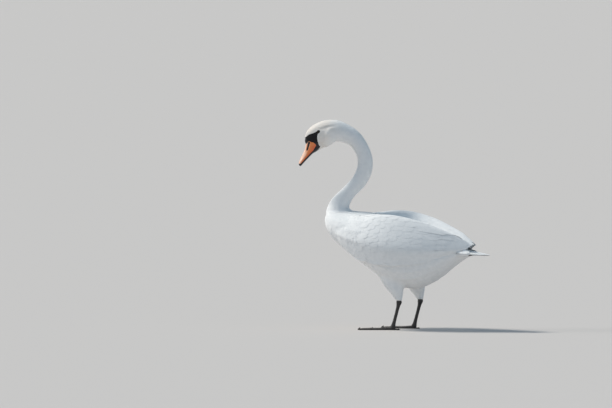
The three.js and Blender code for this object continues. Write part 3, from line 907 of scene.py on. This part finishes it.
def make_coat():
    density = 1 / contour_gap(contour_length(HULL.co, HULL.at, owners(HULL.co))) ** 2
    roots = candidates(density)
    owner = owners(roots)
    free = coated(roots, owner)
    roots, owner = roots[free], owner[free]
    at, heading = along_line(roots)
    lengths = contour_length(roots, at, owner)
    kept = spread(roots, contour_gap(lengths) * MM)
    roots, owner, at, heading, lengths = roots[kept], owner[kept], at[kept], heading[kept], lengths[kept]
    n = len(roots)
    x = own_x(roots)
    lengths = lengths * RNG.uniform(0.85, 1.12, n)
    widths = lengths * np.interp(lengths, [5, 12, 25, 40], [0.54, 0.54, 0.52, 0.5])
    _, normal = HULL.under(roots)
    turn = RNG.normal(0, 0.10, n)
    heading = laid(heading, normal)
    heading = heading * np.cos(turn)[:, None] + np.cross(normal, heading) * np.sin(turn)[:, None]
    beside_tail = step(x, 480, 520) * (roots[:, 2] > 0.262) * step(np.abs(roots[:, 1]), 0.024, 0.034)
    ruffled = step(at, *RUFFLED_FROM) * (1 - step(at, *RUFFLED_TO)) * of_nodes(owner, ["trunk"])
    lift = 0.05 + np.abs(RNG.normal(0, 1, n)) * np.interp(at, [0, 400, 600], [0.05, 0.08, 0.14])
    lift = lift + ruffled * np.maximum(RNG.normal(-0.4, 0.5, n), 0) + 0.4 * beside_tail
    # Flank feathers lie over the wing's lower front edge. Those of back, rump and tail go under the wings,
    # except where the hull rounds off the corner between wing and trunk.
    corner = np.linalg.norm(BODY.under(roots)[0] - roots, axis=1) > CORNER_DEPTH
    back = (x > UNDER_RUMP) | ((x > UNDER_BACK) & (roots[:, 2] > UNDER_BACK_ABOVE))
    beneath = ~of_nodes(owner, WINGS) & ~corner & (at > UNDER_FROM) & back
    for name, low, high, across in ZONES:
        zone = (at >= low) & (at < high)
        for surface, part, suffix in ((HULL, zone & ~beneath, ""), (BODY, zone & beneath, "_under")):
            if part.any():
                contour_feathers(name + suffix, surface, roots[part], lengths[part], widths[part],
                                 heading[part], across, lift[part])


make_coat()


# ---------------- long feathers of wings and tail

# x, and the wing's outer line there, as y and z of its lower edge, side, ridge and inner edge.
WING_LINE = [(94, 98, 322, 112, 352, 82, 394, 62, 404), (128, 108, 290, 128, 346, 88, 404, 50, 411),
             (180, 122, 266, 139, 338, 92, 413, 44, 413), (240, 130, 253, 144, 330, 91, 420, 38, 406),
             (300, 129, 247, 140, 322, 85, 419, 31, 395), (360, 118, 248, 127, 314, 74, 409, 23, 381),
             (420, 99, 255, 106, 309, 60, 393, 16, 365), (480, 72, 268, 79, 304, 46, 369, 10, 346),
             (530, 48, 281, 54, 301, 32, 346, 6, 328), (562, 31, 292, 35, 303, 22, 326, 5, 315),
             (584, 18, 300, 20, 304, 14, 310, 8, 307)]
GRID_ALONG, GRID_AROUND, GRID_FINE = 160, 48, 120
LEFT_WING_DROP = 10.0  # the left wing hangs this much lower, halfway along


def wing_grid(side):
    """Points and outward normals over a folded wing: along it, and from its lower edge to its inner edge."""
    rows = catmull(WING_LINE, GRID_ALONG)
    grid = np.empty((GRID_ALONG, GRID_AROUND, 3))
    around = np.empty(GRID_ALONG)
    for i, row in enumerate(rows):
        line = catmull(row[1:].reshape(4, 2), GRID_FINE)
        run = run_along(line)
        even = np.linspace(0, run[-1], GRID_AROUND)
        grid[i, :, 0] = row[0] + SHIFT_X
        grid[i, :, 1] = side * np.interp(even, run, line[:, 0])
        drop = LEFT_WING_DROP * max(math.sin(math.pi * i / (GRID_ALONG - 1)), 0) ** 0.6 if side < 0 else 0
        grid[i, :, 2] = np.interp(even, run, line[:, 1]) - drop
        around[i] = run[-1]
    normal = unit(np.cross(np.gradient(grid, axis=0), np.gradient(grid, axis=1))) * -side
    return rows[:, 0], grid, normal, around


def sampled(grid, i, j):
    """Values of a grid at fractional rows and columns, drawn out straight beyond its ends."""
    rows, columns = grid.shape[:2]
    a = np.clip(np.floor(i).astype(int), 0, rows - 2)
    b = np.clip(np.floor(j).astype(int), 0, columns - 2)
    f, g = (i - a)[..., None], (j - b)[..., None]
    near = grid[a, b] * (1 - g) + grid[a, b + 1] * g
    far = grid[a + 1, b] * (1 - g) + grid[a + 1, b + 1] * g
    return near * (1 - f) + far * f


LONG_STATIONS = np.array([0, 0.12, 0.26, 0.4, 0.54, 0.67, 0.78, 0.87, 0.94, 0.98, 1.0])
LONG_ACROSS = 9
LONG_OUTLINE_AT = [0, 0.12, 0.4, 0.67, 0.87, 0.94, 0.98, 1]
LONG_OUTLINE = {"round": [0.3, 0.6, 0.92, 1.0, 0.88, 0.68, 0.42, 0],
                "drawn": [0.4, 0.7, 1.0, 0.9, 0.56, 0.38, 0.22, 0]}
LONG_SOFT = 0.8  # as SOFT, for large feathers
SHAFT_HIGH, RIPPLE, FRINGE = 0.45, 0.12, 0.05  # mm, mm and a share of the width


def long_feathers(name, place, lengths, widths, low, high, thick, outline, tuck):
    """Large vanes with a shaft, each with its own underside.

    place gives points in mm and normals from shares of the length and mm across, for all feathers together.
    low and high are the heights of root and tip over the surface, tuck is how steeply one edge goes under.
    """
    n = len(lengths)
    stations = LONG_STATIONS
    s = len(stations)
    u = np.linspace(-1, 1, LONG_ACROSS)
    half = np.interp(stations, LONG_OUTLINE_AT, LONG_OUTLINE[outline])
    top = np.empty((n, s, LONG_ACROSS, 3))
    under = np.empty_like(top)
    normals = np.empty_like(top)
    flat = np.empty((n, s, LONG_ACROSS, 2))
    ripple = RNG.uniform(0, 2 * math.pi, (n, 2))
    for k, t in enumerate(stations):
        for j, share in enumerate(u):
            fringe = 1 + FRINGE * np.sin(ripple[:, 0] + 17 * t) * abs(share)
            off = share * half[k] * widths / 2 * fringe
            point, normal = place(np.full(n, t), off)
            rise = high - (high - low) * (1 - t) ** 1.8
            rise = rise - tuck * off / widths * 2 + RIPPLE * np.sin(ripple[:, 1] + 9 * t) * share
            shaft = SHAFT_HIGH * math.exp(-((share * 7) ** 2)) * (1 - t)
            body = thick * (1 - 0.75 * share**2) * (1 - 0.5 * t)
            top[:, k, j] = point + normal * (rise + shaft)[:, None]
            under[:, k, j] = point + normal * (rise - body - shaft)[:, None]
            normals[:, k, j] = normal
            flat[:, k, j] = np.stack([off, t * lengths], -1) * MM
    inner = slice(LONG_ACROSS - 2, 0, -1)
    rings = np.concatenate([top, under[:, :, inner]], 2)[:, :-1] * MM
    outward = np.concatenate([normals, normals[:, :, inner]], 2)[:, :-1]
    outward = np.concatenate([outward.reshape(n, -1, 3), normals[:, -1, :1]], 1)
    flats = np.concatenate([flat, flat[:, :, inner]], 2)[:, :-1]
    middle = LONG_ACROSS // 2
    tips, flat_tips = top[:, -1, middle] * MM, flat[:, -1, middle]
    roots = place(np.zeros(n), np.zeros(n))[0] * MM
    vane_mesh(name, rings, tips, roots, flats, flat_tips, LONG_ACROSS, outward, LONG_SOFT, FEATHER_LARGE)


# Rows of the folded wing, front to back: where their tips lie, their length and width, and how many they are.
WING_ROWS = [(232, 52, 21, 15), (256, 58, 23, 15), (283, 66, 25, 14), (314, 76, 27, 14), (350, 92, 29, 12),
             (392, 112, 30, 11), (436, 134, 29, 10), (480, 156, 27, 9), (520, 170, 23, 7)]
PRIMARIES, PRIMARY_LONG, PRIMARY_WIDE, PRIMARY_TIP = 11, 240.0, 21.0, 588
# Where the tertials' tips lie, and their places round the wing.
TERTIALS = [(498, 0.62), (526, 0.69), (550, 0.76), (566, 0.83), (578, 0.90), (584, 0.97)]
TERTIAL_LONG, TERTIAL_WIDE = 185.0, 25.0
SCAPULAR_TIPS = [270, 300, 335, 372, 412, 452, 490, 524, 552]


def wing_feathers(side, name):
    xs, grid, normal, around = wing_grid(side)

    def place_for(start, length, v, drift):
        def place(t, off):
            x = start + t * length
            i = np.interp(x, xs, np.arange(len(xs))) + np.maximum(x - xs[-1], 0) / (xs[-1] - xs[-2])
            span = np.interp(x, xs, around)
            j = (v + drift * t + off / np.maximum(span, 24)) * (GRID_AROUND - 1)
            return sampled(grid, i, j), unit(sampled(normal, np.clip(i, 0, len(xs) - 1),
                                                     np.clip(j, 0, GRID_AROUND - 1)))
        return place

    for k, (tip, length, width, count) in enumerate(WING_ROWS):
        v = (np.arange(count) + (0.25 if k % 2 else 0.75)) / count
        v = np.clip(v + RNG.normal(0, 0.008, count), 0.01, 0.995)
        lengths = length * RNG.uniform(0.95, 1.05, count)
        slant = np.interp(v, [0, 0.45, 0.8, 1], [-16, 0, 10, 4])
        start = tip + slant + RNG.normal(0, 6.0, count) - lengths
        place = place_for(start, lengths, v, np.interp(v, [0, 1], [0.03, -0.02]))
        widths = width * RNG.uniform(0.95, 1.05, count)
        low = -1.1 - 2.3 * 0.5**k  # the front rows dive deepest, under the small feathers before them
        long_feathers(f"{name}_row_{k + 1}", place, lengths, widths, low, 0.25, 0.2, "round", 0.15)
    v = np.linspace(0.03, 0.93, PRIMARIES)
    lengths = np.full(PRIMARIES, PRIMARY_LONG)
    start = PRIMARY_TIP - 26 * (np.abs(v - 0.45) / 0.5) ** 1.6 - lengths
    place = place_for(start, lengths, v, 0.06 * (0.45 - v))
    long_feathers(f"{name}_primaries", place, lengths, PRIMARY_WIDE, -4.0, 0.2, 0.7, "drawn", 0.3)
    tips, v = np.array(TERTIALS, float).T
    lengths = np.full(len(tips), TERTIAL_LONG)
    place = place_for(tips - lengths, lengths, v, 0.0)
    long_feathers(f"{name}_tertials", place, lengths, TERTIAL_WIDE, -3.0, 1.2, 0.5, "drawn", 0.5)
    tips = np.array(SCAPULAR_TIPS, float)
    lengths = np.interp(tips, [250, 520], [80, 150])
    place = place_for(tips - lengths, lengths, np.interp(tips, [450, 552], [1.03, 0.99]), -0.02)
    widths = np.interp(tips, [450, 552], [36, 27])
    long_feathers(f"{name}_scapulars", place, lengths, widths, -2.6, 2.0 - 0.4 * side, 0.5, "round", 0.1)


wing_feathers(-1, "wing_left")
wing_feathers(1, "wing_right")


# x, height of the middle, half width and thickness of the tail.
TAIL_LINE = [(440, 285, 34, 30), (470, 285, 40, 26), (520, 284, 48, 21), (565, 281, 51, 13),
             (600, 277, 43, 7), (630, 273, 25, 4), (648, 271, 8, 2)]
TAIL_DROOP = 0.0012


def tail_feathers(name, count, root_x, tip_x, tip_back, root_gap, fan, width, lift, above):
    """A fan of count feathers on each side of the tail's middle, over it or under it.

    tip_back, root_gap and fan are how far back each tip lies, how far out each root and at how many degrees
    more each feather points than the one before it.
    """
    k = np.repeat(np.arange(count), 2)
    side = np.tile([-1, 1], count)
    lengths = tip_x - tip_back * k**1.5 - root_x
    angle = np.radians(fan) * k * side
    start = side * root_gap * (k + 0.5)
    line = np.array(TAIL_LINE, float)

    def place(t, off):
        x = root_x + t * lengths * np.cos(angle) - off * np.sin(angle)
        y = start + t * lengths * np.sin(angle) + off * np.cos(angle)
        z, wide, thick = (np.interp(x, line[:, 0], line[:, c]) for c in (1, 2, 3))
        fall = np.clip(y / np.maximum(wide, 12), -0.98, 0.98)
        rise = thick / 2 * np.sqrt(1 - fall**2) - TAIL_DROOP * y**2
        up = unit(np.stack([0 * x + 0.03, 0.4 * fall * thick / 26, np.ones_like(x)], -1))
        if not above:
            up = up * np.array([1, 1, -1.0])
        return np.stack([x + SHIFT_X, y, z + (rise if above else -rise)], -1), up

    layer = lift - 0.25 * k
    long_feathers(name, place, lengths, width, layer - 2.0, layer, 0.6, "round", 0.0)


tail_feathers("tail_feathers", 10, 478, 648, 2.4, 3.4, 0.75, 23, 1.5, True)
tail_feathers("tail_coverts_far", 7, 455, 566, 2.0, 4.4, 1.0, 24, 2.2, True)
tail_feathers("tail_coverts_near", 7, 430, 520, 2.0, 4.6, 1.0, 24, 3.0, True)
tail_feathers("rump_coverts_high", 5, 430, 574, 2.6, 4.2, 0.8, 25, 12.0, True)
tail_feathers("rump_coverts_low", 6, 425, 556, 2.4, 4.6, 1.0, 25, 7.5, True)
tail_feathers("tail_coverts_under", 8, 470, 590, 2.6, 4.0, 0.9, 24, 1.0, False)


# ---------------- bill

# The bill's side view from base to tip: out and z of ridge, cutting edge and lower edge, and half width.
BILL_LINE = [(-108, 694, -72, 656, -76, 641, 17.5), (-119, 672, -83, 648, -84, 634, 16.5),
             (-124, 645, -97, 634, -96, 627, 15.5), (-133, 624, -114, 616, -113, 610, 15.5),
             (-142, 606, -129, 600, -127, 595, 14.5), (-146, 594, -138, 589, -136, 585, 10),
             (-145, 585, -142, 583.5, -140, 582, 4)]
BILL_ALONG, BILL_AROUND = 150, 81
BILL_LONG = 110.0
NOSTRIL = [(-108.5, 666), (-115.5, 641)]
NOSTRIL_RADIUS = 4.2, 3.2  # behind and in front
NAIL_FROM = 0.88  # of the way to the tip
LEAST_LIFT = 0.015  # of the way from cutting edge to ridge, which keeps the halves of the bill apart
UNDER_SHARE = 0.9  # the lower jaw's width beside the upper's
ORANGE_REACH = 3.0


def segment_distance(points, a, b):
    a, b = np.array(a, float), np.array(b, float)
    d = b - a
    t = np.clip(((points - a) @ d) / (d @ d), 0, 1)
    return np.linalg.norm(points - a - t[..., None] * d, axis=-1), t


def jaw(name, upper, replaced):
    """One half of the bill: its outside with nostrils, nail and cutting edge, closed flat along the mouth."""
    line = catmull(BILL_LINE, BILL_ALONG)
    share = np.linspace(0, 1, BILL_ALONG)
    edge, crown = line[:, 2:4], line[:, 0:2] if upper else line[:, 4:6]
    up = crown - edge
    turn = (np.linspace(0, 1, BILL_AROUND) - 0.5) * math.pi
    lift = np.maximum(np.cos(turn), 0) ** 0.9
    flare = np.sign(turn) * np.abs(np.sin(turn)) ** 0.85
    at = edge[:, None] + up[:, None] * np.maximum(lift, LEAST_LIFT)[None, :, None]
    wide = line[:, 6] * (1 if upper else UNDER_SHARE)
    co = head_point(at[..., 0], at[..., 1], wide[:, None] * flare[None]) / MM
    normal = unit(np.cross(np.gradient(co, axis=1), np.gradient(co, axis=0)))
    middle = head_point(edge[:, 0], edge[:, 1])[:, None] / MM
    normal = normal * np.sign((normal * (co - middle)).sum(-1, keepdims=True).mean())
    share, off = np.meshgrid(share, np.abs(turn), indexing="ij")
    push = np.zeros_like(share)
    dark = np.full_like(share, -ORANGE_REACH)

    def between(*limits):
        """1 between the second and third of four shares of the bill's length, 0 outside the others."""
        return step(share, *limits[:2]) * (1 - step(share, *limits[2:]))

    if upper:
        d, t = segment_distance(at, *NOSTRIL)
        d = d - np.interp(t, [0, 1], NOSTRIL_RADIUS)
        push = push - 2.0 * (1 - step(d, -0.7, 0.6)) + 0.45 * np.exp(-((d - 1.8) / 1.4) ** 2)
        dark = np.maximum(dark, -d)
        nail = step(share, NAIL_FROM, NAIL_FROM + 0.03) * (1 - step(off, 0.85, 1.05))
        push = push + 0.45 * nail
        dark = np.maximum(dark, np.minimum((share - NAIL_FROM - 0.025) * BILL_LONG, (0.98 - off) * 12))
        # A fine groove over the cutting edge, and a shallow hollow beside the ridge.
        push = push - 0.5 * np.exp(-((off - 1.30) / 0.05) ** 2) * between(0.1, 0.2, 0.86, 0.95)
        push = push - 0.7 * np.exp(-((off - 0.75) / 0.22) ** 2) * between(0.3, 0.5, 0.7, 0.9)
    comb = np.sin(share * 340) * step(off, 1.42, 1.5) * between(0.15, 0.25, 0.8, 0.9)
    push = push + 0.14 * comb
    co = co + normal * push[..., None]
    lead = co[0] + (head_point(12, 6) - head_point(0, 0)) / MM * 0.35
    lead = lead + (lead.mean(0) - lead) * 0.12
    co = np.concatenate([lead[None], co])
    rows = BILL_ALONG + 1
    flat = co.reshape(-1, 3)
    faces = grid_quads(rows, BILL_AROUND)
    # The mouth side: strips across from one cutting edge to the other, and the two ends.
    left = np.arange(rows) * BILL_AROUND
    right = left + BILL_AROUND - 1
    floor_quads = np.stack([left[:-1], left[1:], right[1:], right[:-1]], -1)
    ends = [np.arange(BILL_AROUND)[::-1], (rows - 1) * BILL_AROUND + np.arange(BILL_AROUND)]
    mesh = closed_mesh(name, flat, faces.tolist() + floor_quads.tolist() + [e.tolist() for e in ends])
    out, z, _ = head_coords(flat * MM)
    to_orange = np.clip(outside(out, z, ORANGE), -ORANGE_REACH, ORANGE_REACH)
    to_orange = np.maximum(to_orange, np.concatenate([dark[:1], dark]).ravel())
    float_attribute(mesh, "from_orange", to_orange if upper else np.full(len(flat), ORANGE_REACH))
    # Nearness to the ridge, widened over the front half: where it is high the bill is painted pale, partly
    # its own tone and partly a painted highlight.
    ridge = 0.85 - off / (0.5 * math.pi) + 0.62 * step(share, 0.25, 0.6) * (1 - step(off, 1.12, 1.44))
    float_attribute(mesh, "ridge", np.concatenate([ridge[:1], ridge]).ravel())
    obj = new_object(name, mesh, BILL)
    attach(obj, "root")
    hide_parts(replaced)


ORANGE_TONE = (0.90, 0.235, 0.055)
ORANGE_LIGHT = (0.96, 0.310, 0.095)
ORANGE_RED = (0.88, 0.170, 0.055)
ORANGE_PALE_AND_HIGHLIGHT = (0.96, 0.62, 0.45)


def bill_material():
    """Orange horn with the black that runs round it, glossy and faintly grained; paler along the ridge and
    over the front half, partly the horn's own paler tone and partly a painted highlight.
    """
    m = material("bill", ORANGE_TONE, 0.28, Specular_IOR_Level=0.4, Coat_Weight=0.3, Coat_Roughness=0.2)
    tone = mottled(m, ORANGE_TONE, ORANGE_LIGHT, 90, 4.0)
    ridge = attribute(m, "ridge")
    red = mixed(m, ramp(m, ridge, 0.15, -0.1), tone, ORANGE_RED)
    # The pale is partly the ridge's own paler horn and partly a painted highlight.
    pale_and_highlight = mixed(m, maths(m, "MULTIPLY", ramp(m, ridge, 0.2, 0.72), 0.92), red, ORANGE_PALE_AND_HIGHLIGHT)
    into_shader(m, mixed(m, ramp(m, attribute(m, "from_orange"), 0.3, -0.3), BLACK, pale_and_highlight))
    grain = noise(m, (260.0, 260.0, 900.0))
    bumped(m, (grain, 0.25, 0.0002), (noise(m, 1500, 2.0), 0.12, 0.0001))
    return m


def knob_material():
    m = material("bill_black", BLACK, 0.36, Specular_IOR_Level=0.35)
    into_shader(m, mottled(m, BLACK, (0.018, 0.017, 0.021), 300))
    bumped(m, (noise(m, 700, 4.0), 0.5, 0.0004))
    return m


BILL = bill_material()
BILL_BLACK = knob_material()
KNOB_OUT, KNOB_Z, KNOB_LEAN = -112.2, 678.3, math.radians(70)
KNOB_LONG, KNOB_DEEP, KNOB_WIDE = 17.5, 11.5, 10.7


def make_knob():
    """The knob over the bill's base: an egg that is fuller in front, with shallow furrows."""
    mesh, p = unit_ball("knob", 64, 40)
    furrow = 0.25 * np.sin(p[:, 2] * 9 + 2 * p[:, 1]) * (1 - p[:, 2] ** 2)
    swell = 1 + 0.08 * p[:, 2]
    along = p[:, 2] * KNOB_LONG
    deep = p[:, 0] * (KNOB_DEEP + furrow) * swell
    wide = p[:, 1] * (KNOB_WIDE + furrow) * swell
    out = KNOB_OUT + along * math.cos(KNOB_LEAN) - deep * math.sin(KNOB_LEAN)
    z = KNOB_Z + along * math.sin(KNOB_LEAN) + deep * math.cos(KNOB_LEAN)
    move_points(mesh, head_point(out, z, wide))
    obj = new_object("knob", mesh, BILL_BLACK)
    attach(obj, "root")
    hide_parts("bill_knob")


jaw("upper_jaw", True, "bill_upper")
jaw("lower_jaw", False, "bill_lower")
make_knob()


# ---------------- eyes

IRIS = (0.016, 0.008, 0.005)
IRIS_LIGHT = (0.036, 0.018, 0.010)
PUPIL = (0.004, 0.004, 0.004)
BALL_SHARE = 0.985  # the eyeball's radius beside the room inside the lids


def eye_material():
    """A dark brown iris round a black pupil, under a clear wet surface."""
    m = material("eye", IRIS, 0.06, Specular_IOR_Level=0.35)
    pupil = ramp(m, attribute(m, "turn"), 0.50, 0.44)
    rim = ramp(m, attribute(m, "turn"), 0.82, 0.90)
    dark = maths(m, "MAXIMUM", pupil, rim)
    into_shader(m, mixed(m, dark, mottled(m, IRIS, IRIS_LIGHT, 1600), PUPIL))
    return m


EYE = eye_material()


def make_eye(side, name):
    """An eyeball with its cornea's bulge; turn is the angle from its outward pole."""
    mesh, p = unit_ball(name, 48, 32)
    turn = np.arccos(np.clip(p[:, 2], -1, 1))
    bulge = 1 + 0.035 * np.exp(-((turn / 0.55) ** 2))
    r = EYE_RADIUS * BALL_SHARE
    co = head_point(EYE_OUT + p[:, 0] * r, EYE_Z + p[:, 1] * r, side * (EYE_SIDE + p[:, 2] * r * bulge))
    if side > 0:
        mesh.flip_normals()
    move_points(mesh, co)
    float_attribute(mesh, "turn", turn)
    obj = new_object(name, mesh, EYE)
    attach(obj, "root")
    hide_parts("eye_left" if side < 0 else "eye_right")


make_eye(-1, "eyeball_left")
make_eye(1, "eyeball_right")


# ---------------- legs

TOE_ROOT_X, LEG_SPREAD, STRIDE, FOOT_TURN = 308.0, 62.0, 14.0, 6.0
TOES = [(25, 104, 5.4), (2, 130, 6.0), (-21, 122, 5.6), (172, 27, 4.2)]  # turn, length and half thickness
KNUCKLES = 0.36, 0.64  # along a toe
PLATE_LONG = 3.4  # of the plates along a toe's top
WEB_TOP, LOWEST = 1.9, 0.02  # mm over the floor
SCALE_SIZE = 0.0032
LEG_VOXEL = 0.00105
LEG_DARK, LEG_WORN, LEG_CREASE = (0.022, 0.021, 0.022), (0.055, 0.052, 0.050), (0.010, 0.010, 0.010)
CLAW_DARK, CLAW_WORN = (0.010, 0.009, 0.009), (0.030, 0.027, 0.024)


def leg_material():
    """Dark grey scaly skin, greyer on the scales than between them."""
    m = material("leg", LEG_DARK, 0.5, Specular_IOR_Level=0.4)
    into_shader(m, mixed(m, attribute(m, "crease"), mottled(m, LEG_DARK, LEG_WORN, 160, 4.0), LEG_CREASE))
    bumped(m, (noise(m, 1300), 0.35, 0.0003))
    return m


def claw_material():
    m = material("claw", CLAW_DARK, 0.3, Specular_IOR_Level=0.5)
    into_shader(m, mottled(m, CLAW_DARK, CLAW_WORN, 400))
    bumped(m, (noise(m, (300.0, 300.0, 1500.0)), 0.3, 0.0002))
    return m


LEG = leg_material()
CLAW = claw_material()


def toe_root(side):
    return np.array([TOE_ROOT_X + side * STRIDE + SHIFT_X, side * LEG_SPREAD])


def toe_frames(side):
    """Root, heading, sideways direction, length and half thickness of each toe of a foot, in mm."""
    for turn, length, thick in TOES:
        angle = math.radians(turn - FOOT_TURN)
        heading = np.array([-math.cos(angle), -side * math.sin(angle)])
        yield toe_root(side), heading, np.array([-heading[1], heading[0]]), length, thick


def scale_cells(points, size):
    """How near each point is to the border between cells scattered over a surface, in shares of size."""
    order = RNG.permutation(len(points))
    picks = points[order]
    kept = picks[spread(picks, np.full(len(picks), size))]
    tree = KDTree(len(kept))
    for i, p in enumerate(kept.tolist()):
        tree.insert(p, i)
    tree.balance()
    gap = np.empty(len(points))
    for i, p in enumerate(points.tolist()):
        (_, _, a), (_, _, b) = tree.find_n(p, 2)
        gap[i] = b - a
    return gap / size


def make_leg(side, name):
    """Shank and foot as one scaly skin, with the web drawn thin between the toes."""
    co, tris, _ = joined_nodes([f"shank_{name}", f"foot_{name}"])
    mesh = remeshed(f"leg_{name}", co, tris, LEG_VOXEL)
    co = numbers(mesh.vertices, "co", 3)
    edges = pairs_of(mesh)
    co = evened(co, edges, 14, swell=SWELL)
    mm = co / MM
    near_toe = np.full(len(co), 1e9)
    scute = np.zeros(len(co))
    for root, heading, across, length, thick in toe_frames(side):
        rel = mm[:, :2] - root
        t = rel @ heading
        d = np.abs(rel @ across) - thick * (1 - 0.35 * np.clip(t / length, 0, 1))
        d = np.where(t < 0, np.hypot(np.maximum(d, 0), t), d)
        nearer = d < near_toe
        near_toe = np.where(nearer, d, near_toe)
        plates = np.abs(np.sin(t / PLATE_LONG * math.pi / 2)) ** 0.5
        knuckle = sum(np.exp(-(((t / length) - k) / 0.05) ** 2) for k in KNUCKLES)
        scute = np.where(nearer & (t > 6), plates - 0.8 + 1.2 * knuckle, np.where(nearer, 0, scute))
    web = step(near_toe, 0.0, 3.0) * (1 - step(mm[:, 2], 4.5, 8.0))
    rel = mm[:, :2] - toe_root(side)
    bearing = np.arctan2(rel[:, 1], -rel[:, 0])
    reach = np.hypot(*rel.T)
    folds = 0.28 * np.sin(bearing * 46) * step(reach, 20, 60) + 0.12 * np.sin(reach / 2.6)
    top = step(mm[:, 2], 0.9, 1.6)
    mm[:, 2] = np.where(top * web > 0, mm[:, 2] + (WEB_TOP + folds - mm[:, 2]) * web * top, mm[:, 2])
    move_points(mesh, mm * MM)
    normal = numbers(mesh.vertices, "normal", 3)
    crease = 1 - step(scale_cells(mm * MM, SCALE_SIZE), 0.05, 0.30)
    upper = step(mm[:, 2], 1.2, 2.4)
    on_web = web * (1 - step(mm[:, 2], 2.5, 4))
    relief = -0.32 * crease * (1 - 0.75 * on_web)
    plated = step(-near_toe, -1.5, 0.5) * (1 - step(mm[:, 2], 11, 15))
    relief = relief * (1 - 0.6 * plated) + 0.45 * scute * plated
    mm = mm + normal * (relief * upper)[:, None]
    mm[:, 2] = np.maximum(mm[:, 2], LOWEST)
    move_points(mesh, mm * MM)
    groove = 1 - step(scute, -0.6, -0.2)
    crease = np.clip(crease * (1 - plated * 0.6) + groove * plated, 0, 1) * upper * 0.8
    float_attribute(mesh, "crease", crease)
    obj = new_object(f"leg_{name}", mesh, LEG)
    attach(obj, "root")
    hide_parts(f"shank_{name}", f"foot_{name}")


CLAW_RINGS, CLAW_SIDES = 14, 16
CLAW_LONG, HIND_CLAW_LONG = 9.5, 6.0


def make_claws(side, name):
    """A curved claw at the end of each toe."""
    co, faces = [], []
    for k, (root, heading, across, length, thick) in enumerate(toe_frames(side)):
        reach = CLAW_LONG if k < 3 else HIND_CLAW_LONG
        size = thick * (0.46 if k < 3 else 0.5)
        t = np.linspace(0, 1, CLAW_RINGS)
        spot = root + heading * (length - reach * 0.75 + reach * t)[:, None]
        fat = size * np.sqrt(np.maximum(1 - t**1.6, 0)) + 0.25
        high = 0.25 + fat * 0.95 + thick * 0.30 * (1 - t) ** 1.5
        turn = np.linspace(0, 2 * math.pi, CLAW_SIDES, endpoint=False)
        ring = spot[:, None] + across * (fat[:, None] * np.cos(turn))[..., None]
        z = high[:, None] + fat[:, None] * 0.95 * np.sin(turn)
        base = len(co)
        co += np.concatenate([ring, z[..., None]], -1).reshape(-1, 3).tolist()
        faces += (grid_quads(CLAW_RINGS, CLAW_SIDES, wrap=True) + base).tolist()
        faces.append([base + i for i in range(CLAW_SIDES)][::-1])
        faces.append([base + (CLAW_RINGS - 1) * CLAW_SIDES + i for i in range(CLAW_SIDES)])
    obj = new_object(f"claws_{name}", closed_mesh(f"claws_{name}", co, faces), CLAW)
    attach(obj, "root")


for side, name in ((-1, "left"), (1, "right")):
    make_leg(side, name)
    make_claws(side, name)


# ---------------- stage

CAMERA_AZIMUTH, CAMERA_ELEVATION = math.radians(25), math.radians(2)
AIM = Vector((-0.3361, -0.0508, 0.446))
FAR = 25.0  # metres from the camera to AIM
SENSOR = 36.0
PICTURE_WIDTH = 2.2032  # metres across the picture at the bird

FLOOR = (0.568, 0.538, 0.518)
FLOOR_HALF = 600.0
SKY, SKY_STRENGTH = (0.54, 0.77, 1.0), 0.385
SHOWN = (0.56, 0.56, 0.555)  # the floor as the lamps show it, for the world beyond its edge


def towards(azimuth, elevation):
    """A direction. Azimuth 0 is on the side of -Y, and 90 degrees is +X."""
    return Vector((math.sin(azimuth) * math.cos(elevation), -math.cos(azimuth) * math.cos(elevation),
                   math.sin(elevation)))


def make_camera():
    data = bpy.data.cameras.new("camera")
    data.sensor_width = SENSOR
    data.lens = SENSOR * FAR / PICTURE_WIDTH
    data.clip_start, data.clip_end = 1.0, 2000.0
    camera = in_scene("camera", data)
    back = towards(CAMERA_AZIMUTH, CAMERA_ELEVATION)
    camera.location = AIM + back * FAR
    camera.rotation_mode = "QUATERNION"
    camera.rotation_quaternion = (-back).to_track_quat("-Z", "Y")
    bpy.context.scene.camera = camera


def make_floor():
    m = material("floor", FLOOR, 0.9, Specular_IOR_Level=0.1)
    corners = np.array([(-1, -1, 0), (1, -1, 0), (1, 1, 0), (-1, 1, 0)]) * FLOOR_HALF
    mesh = mesh_of("floor", corners, np.array([[0, 1, 2, 3]]))
    new_object("floor", mesh, m)


def make_world():
    world = bpy.data.worlds.new("world")
    bpy.context.scene.world = world
    world.use_nodes = True
    light = world.node_tree.nodes["Background"]
    light.inputs["Color"].default_value = (*SKY, 1)
    light.inputs["Strength"].default_value = SKY_STRENGTH
    shown = node(world, "ShaderNodeBackground", Color=(*SHOWN, 1), Strength=1.0)
    path = node(world, "ShaderNodeLightPath")
    seen = maths(world, "MAXIMUM", path.outputs["Is Camera Ray"], path.outputs["Is Glossy Ray"])
    mix = node(world, "ShaderNodeMixShader")
    for socket, into in zip((seen, light.outputs[0], shown.outputs[0]), mix.inputs):
        link(world, socket, into)
    link(world, mix.outputs[0], world.node_tree.nodes["World Output"].inputs["Surface"])


def lamp(name, azimuth, elevation, spread_angle, strength, colour=(1, 1, 1)):
    """A far, soft lamp; its angles are in degrees."""
    data = bpy.data.lights.new(name, "SUN")
    data.angle = math.radians(spread_angle)
    data.energy = strength
    data.color = colour
    back = towards(math.radians(azimuth), math.radians(elevation))
    obj = in_scene(name, data)
    obj.location = back * 5
    obj.rotation_mode = "QUATERNION"
    obj.rotation_quaternion = back.to_track_quat("Z", "Y")


make_camera()
make_floor()
make_world()
lamp("key", -84, 51, 14, 2.85, (1.0, 0.955, 0.88))
lamp("side", -72, 22, 15, 0.5)
lamp("fill", 60, 25, 60, 0.2)

scene = bpy.context.scene
scene.view_settings.view_transform = "Standard"
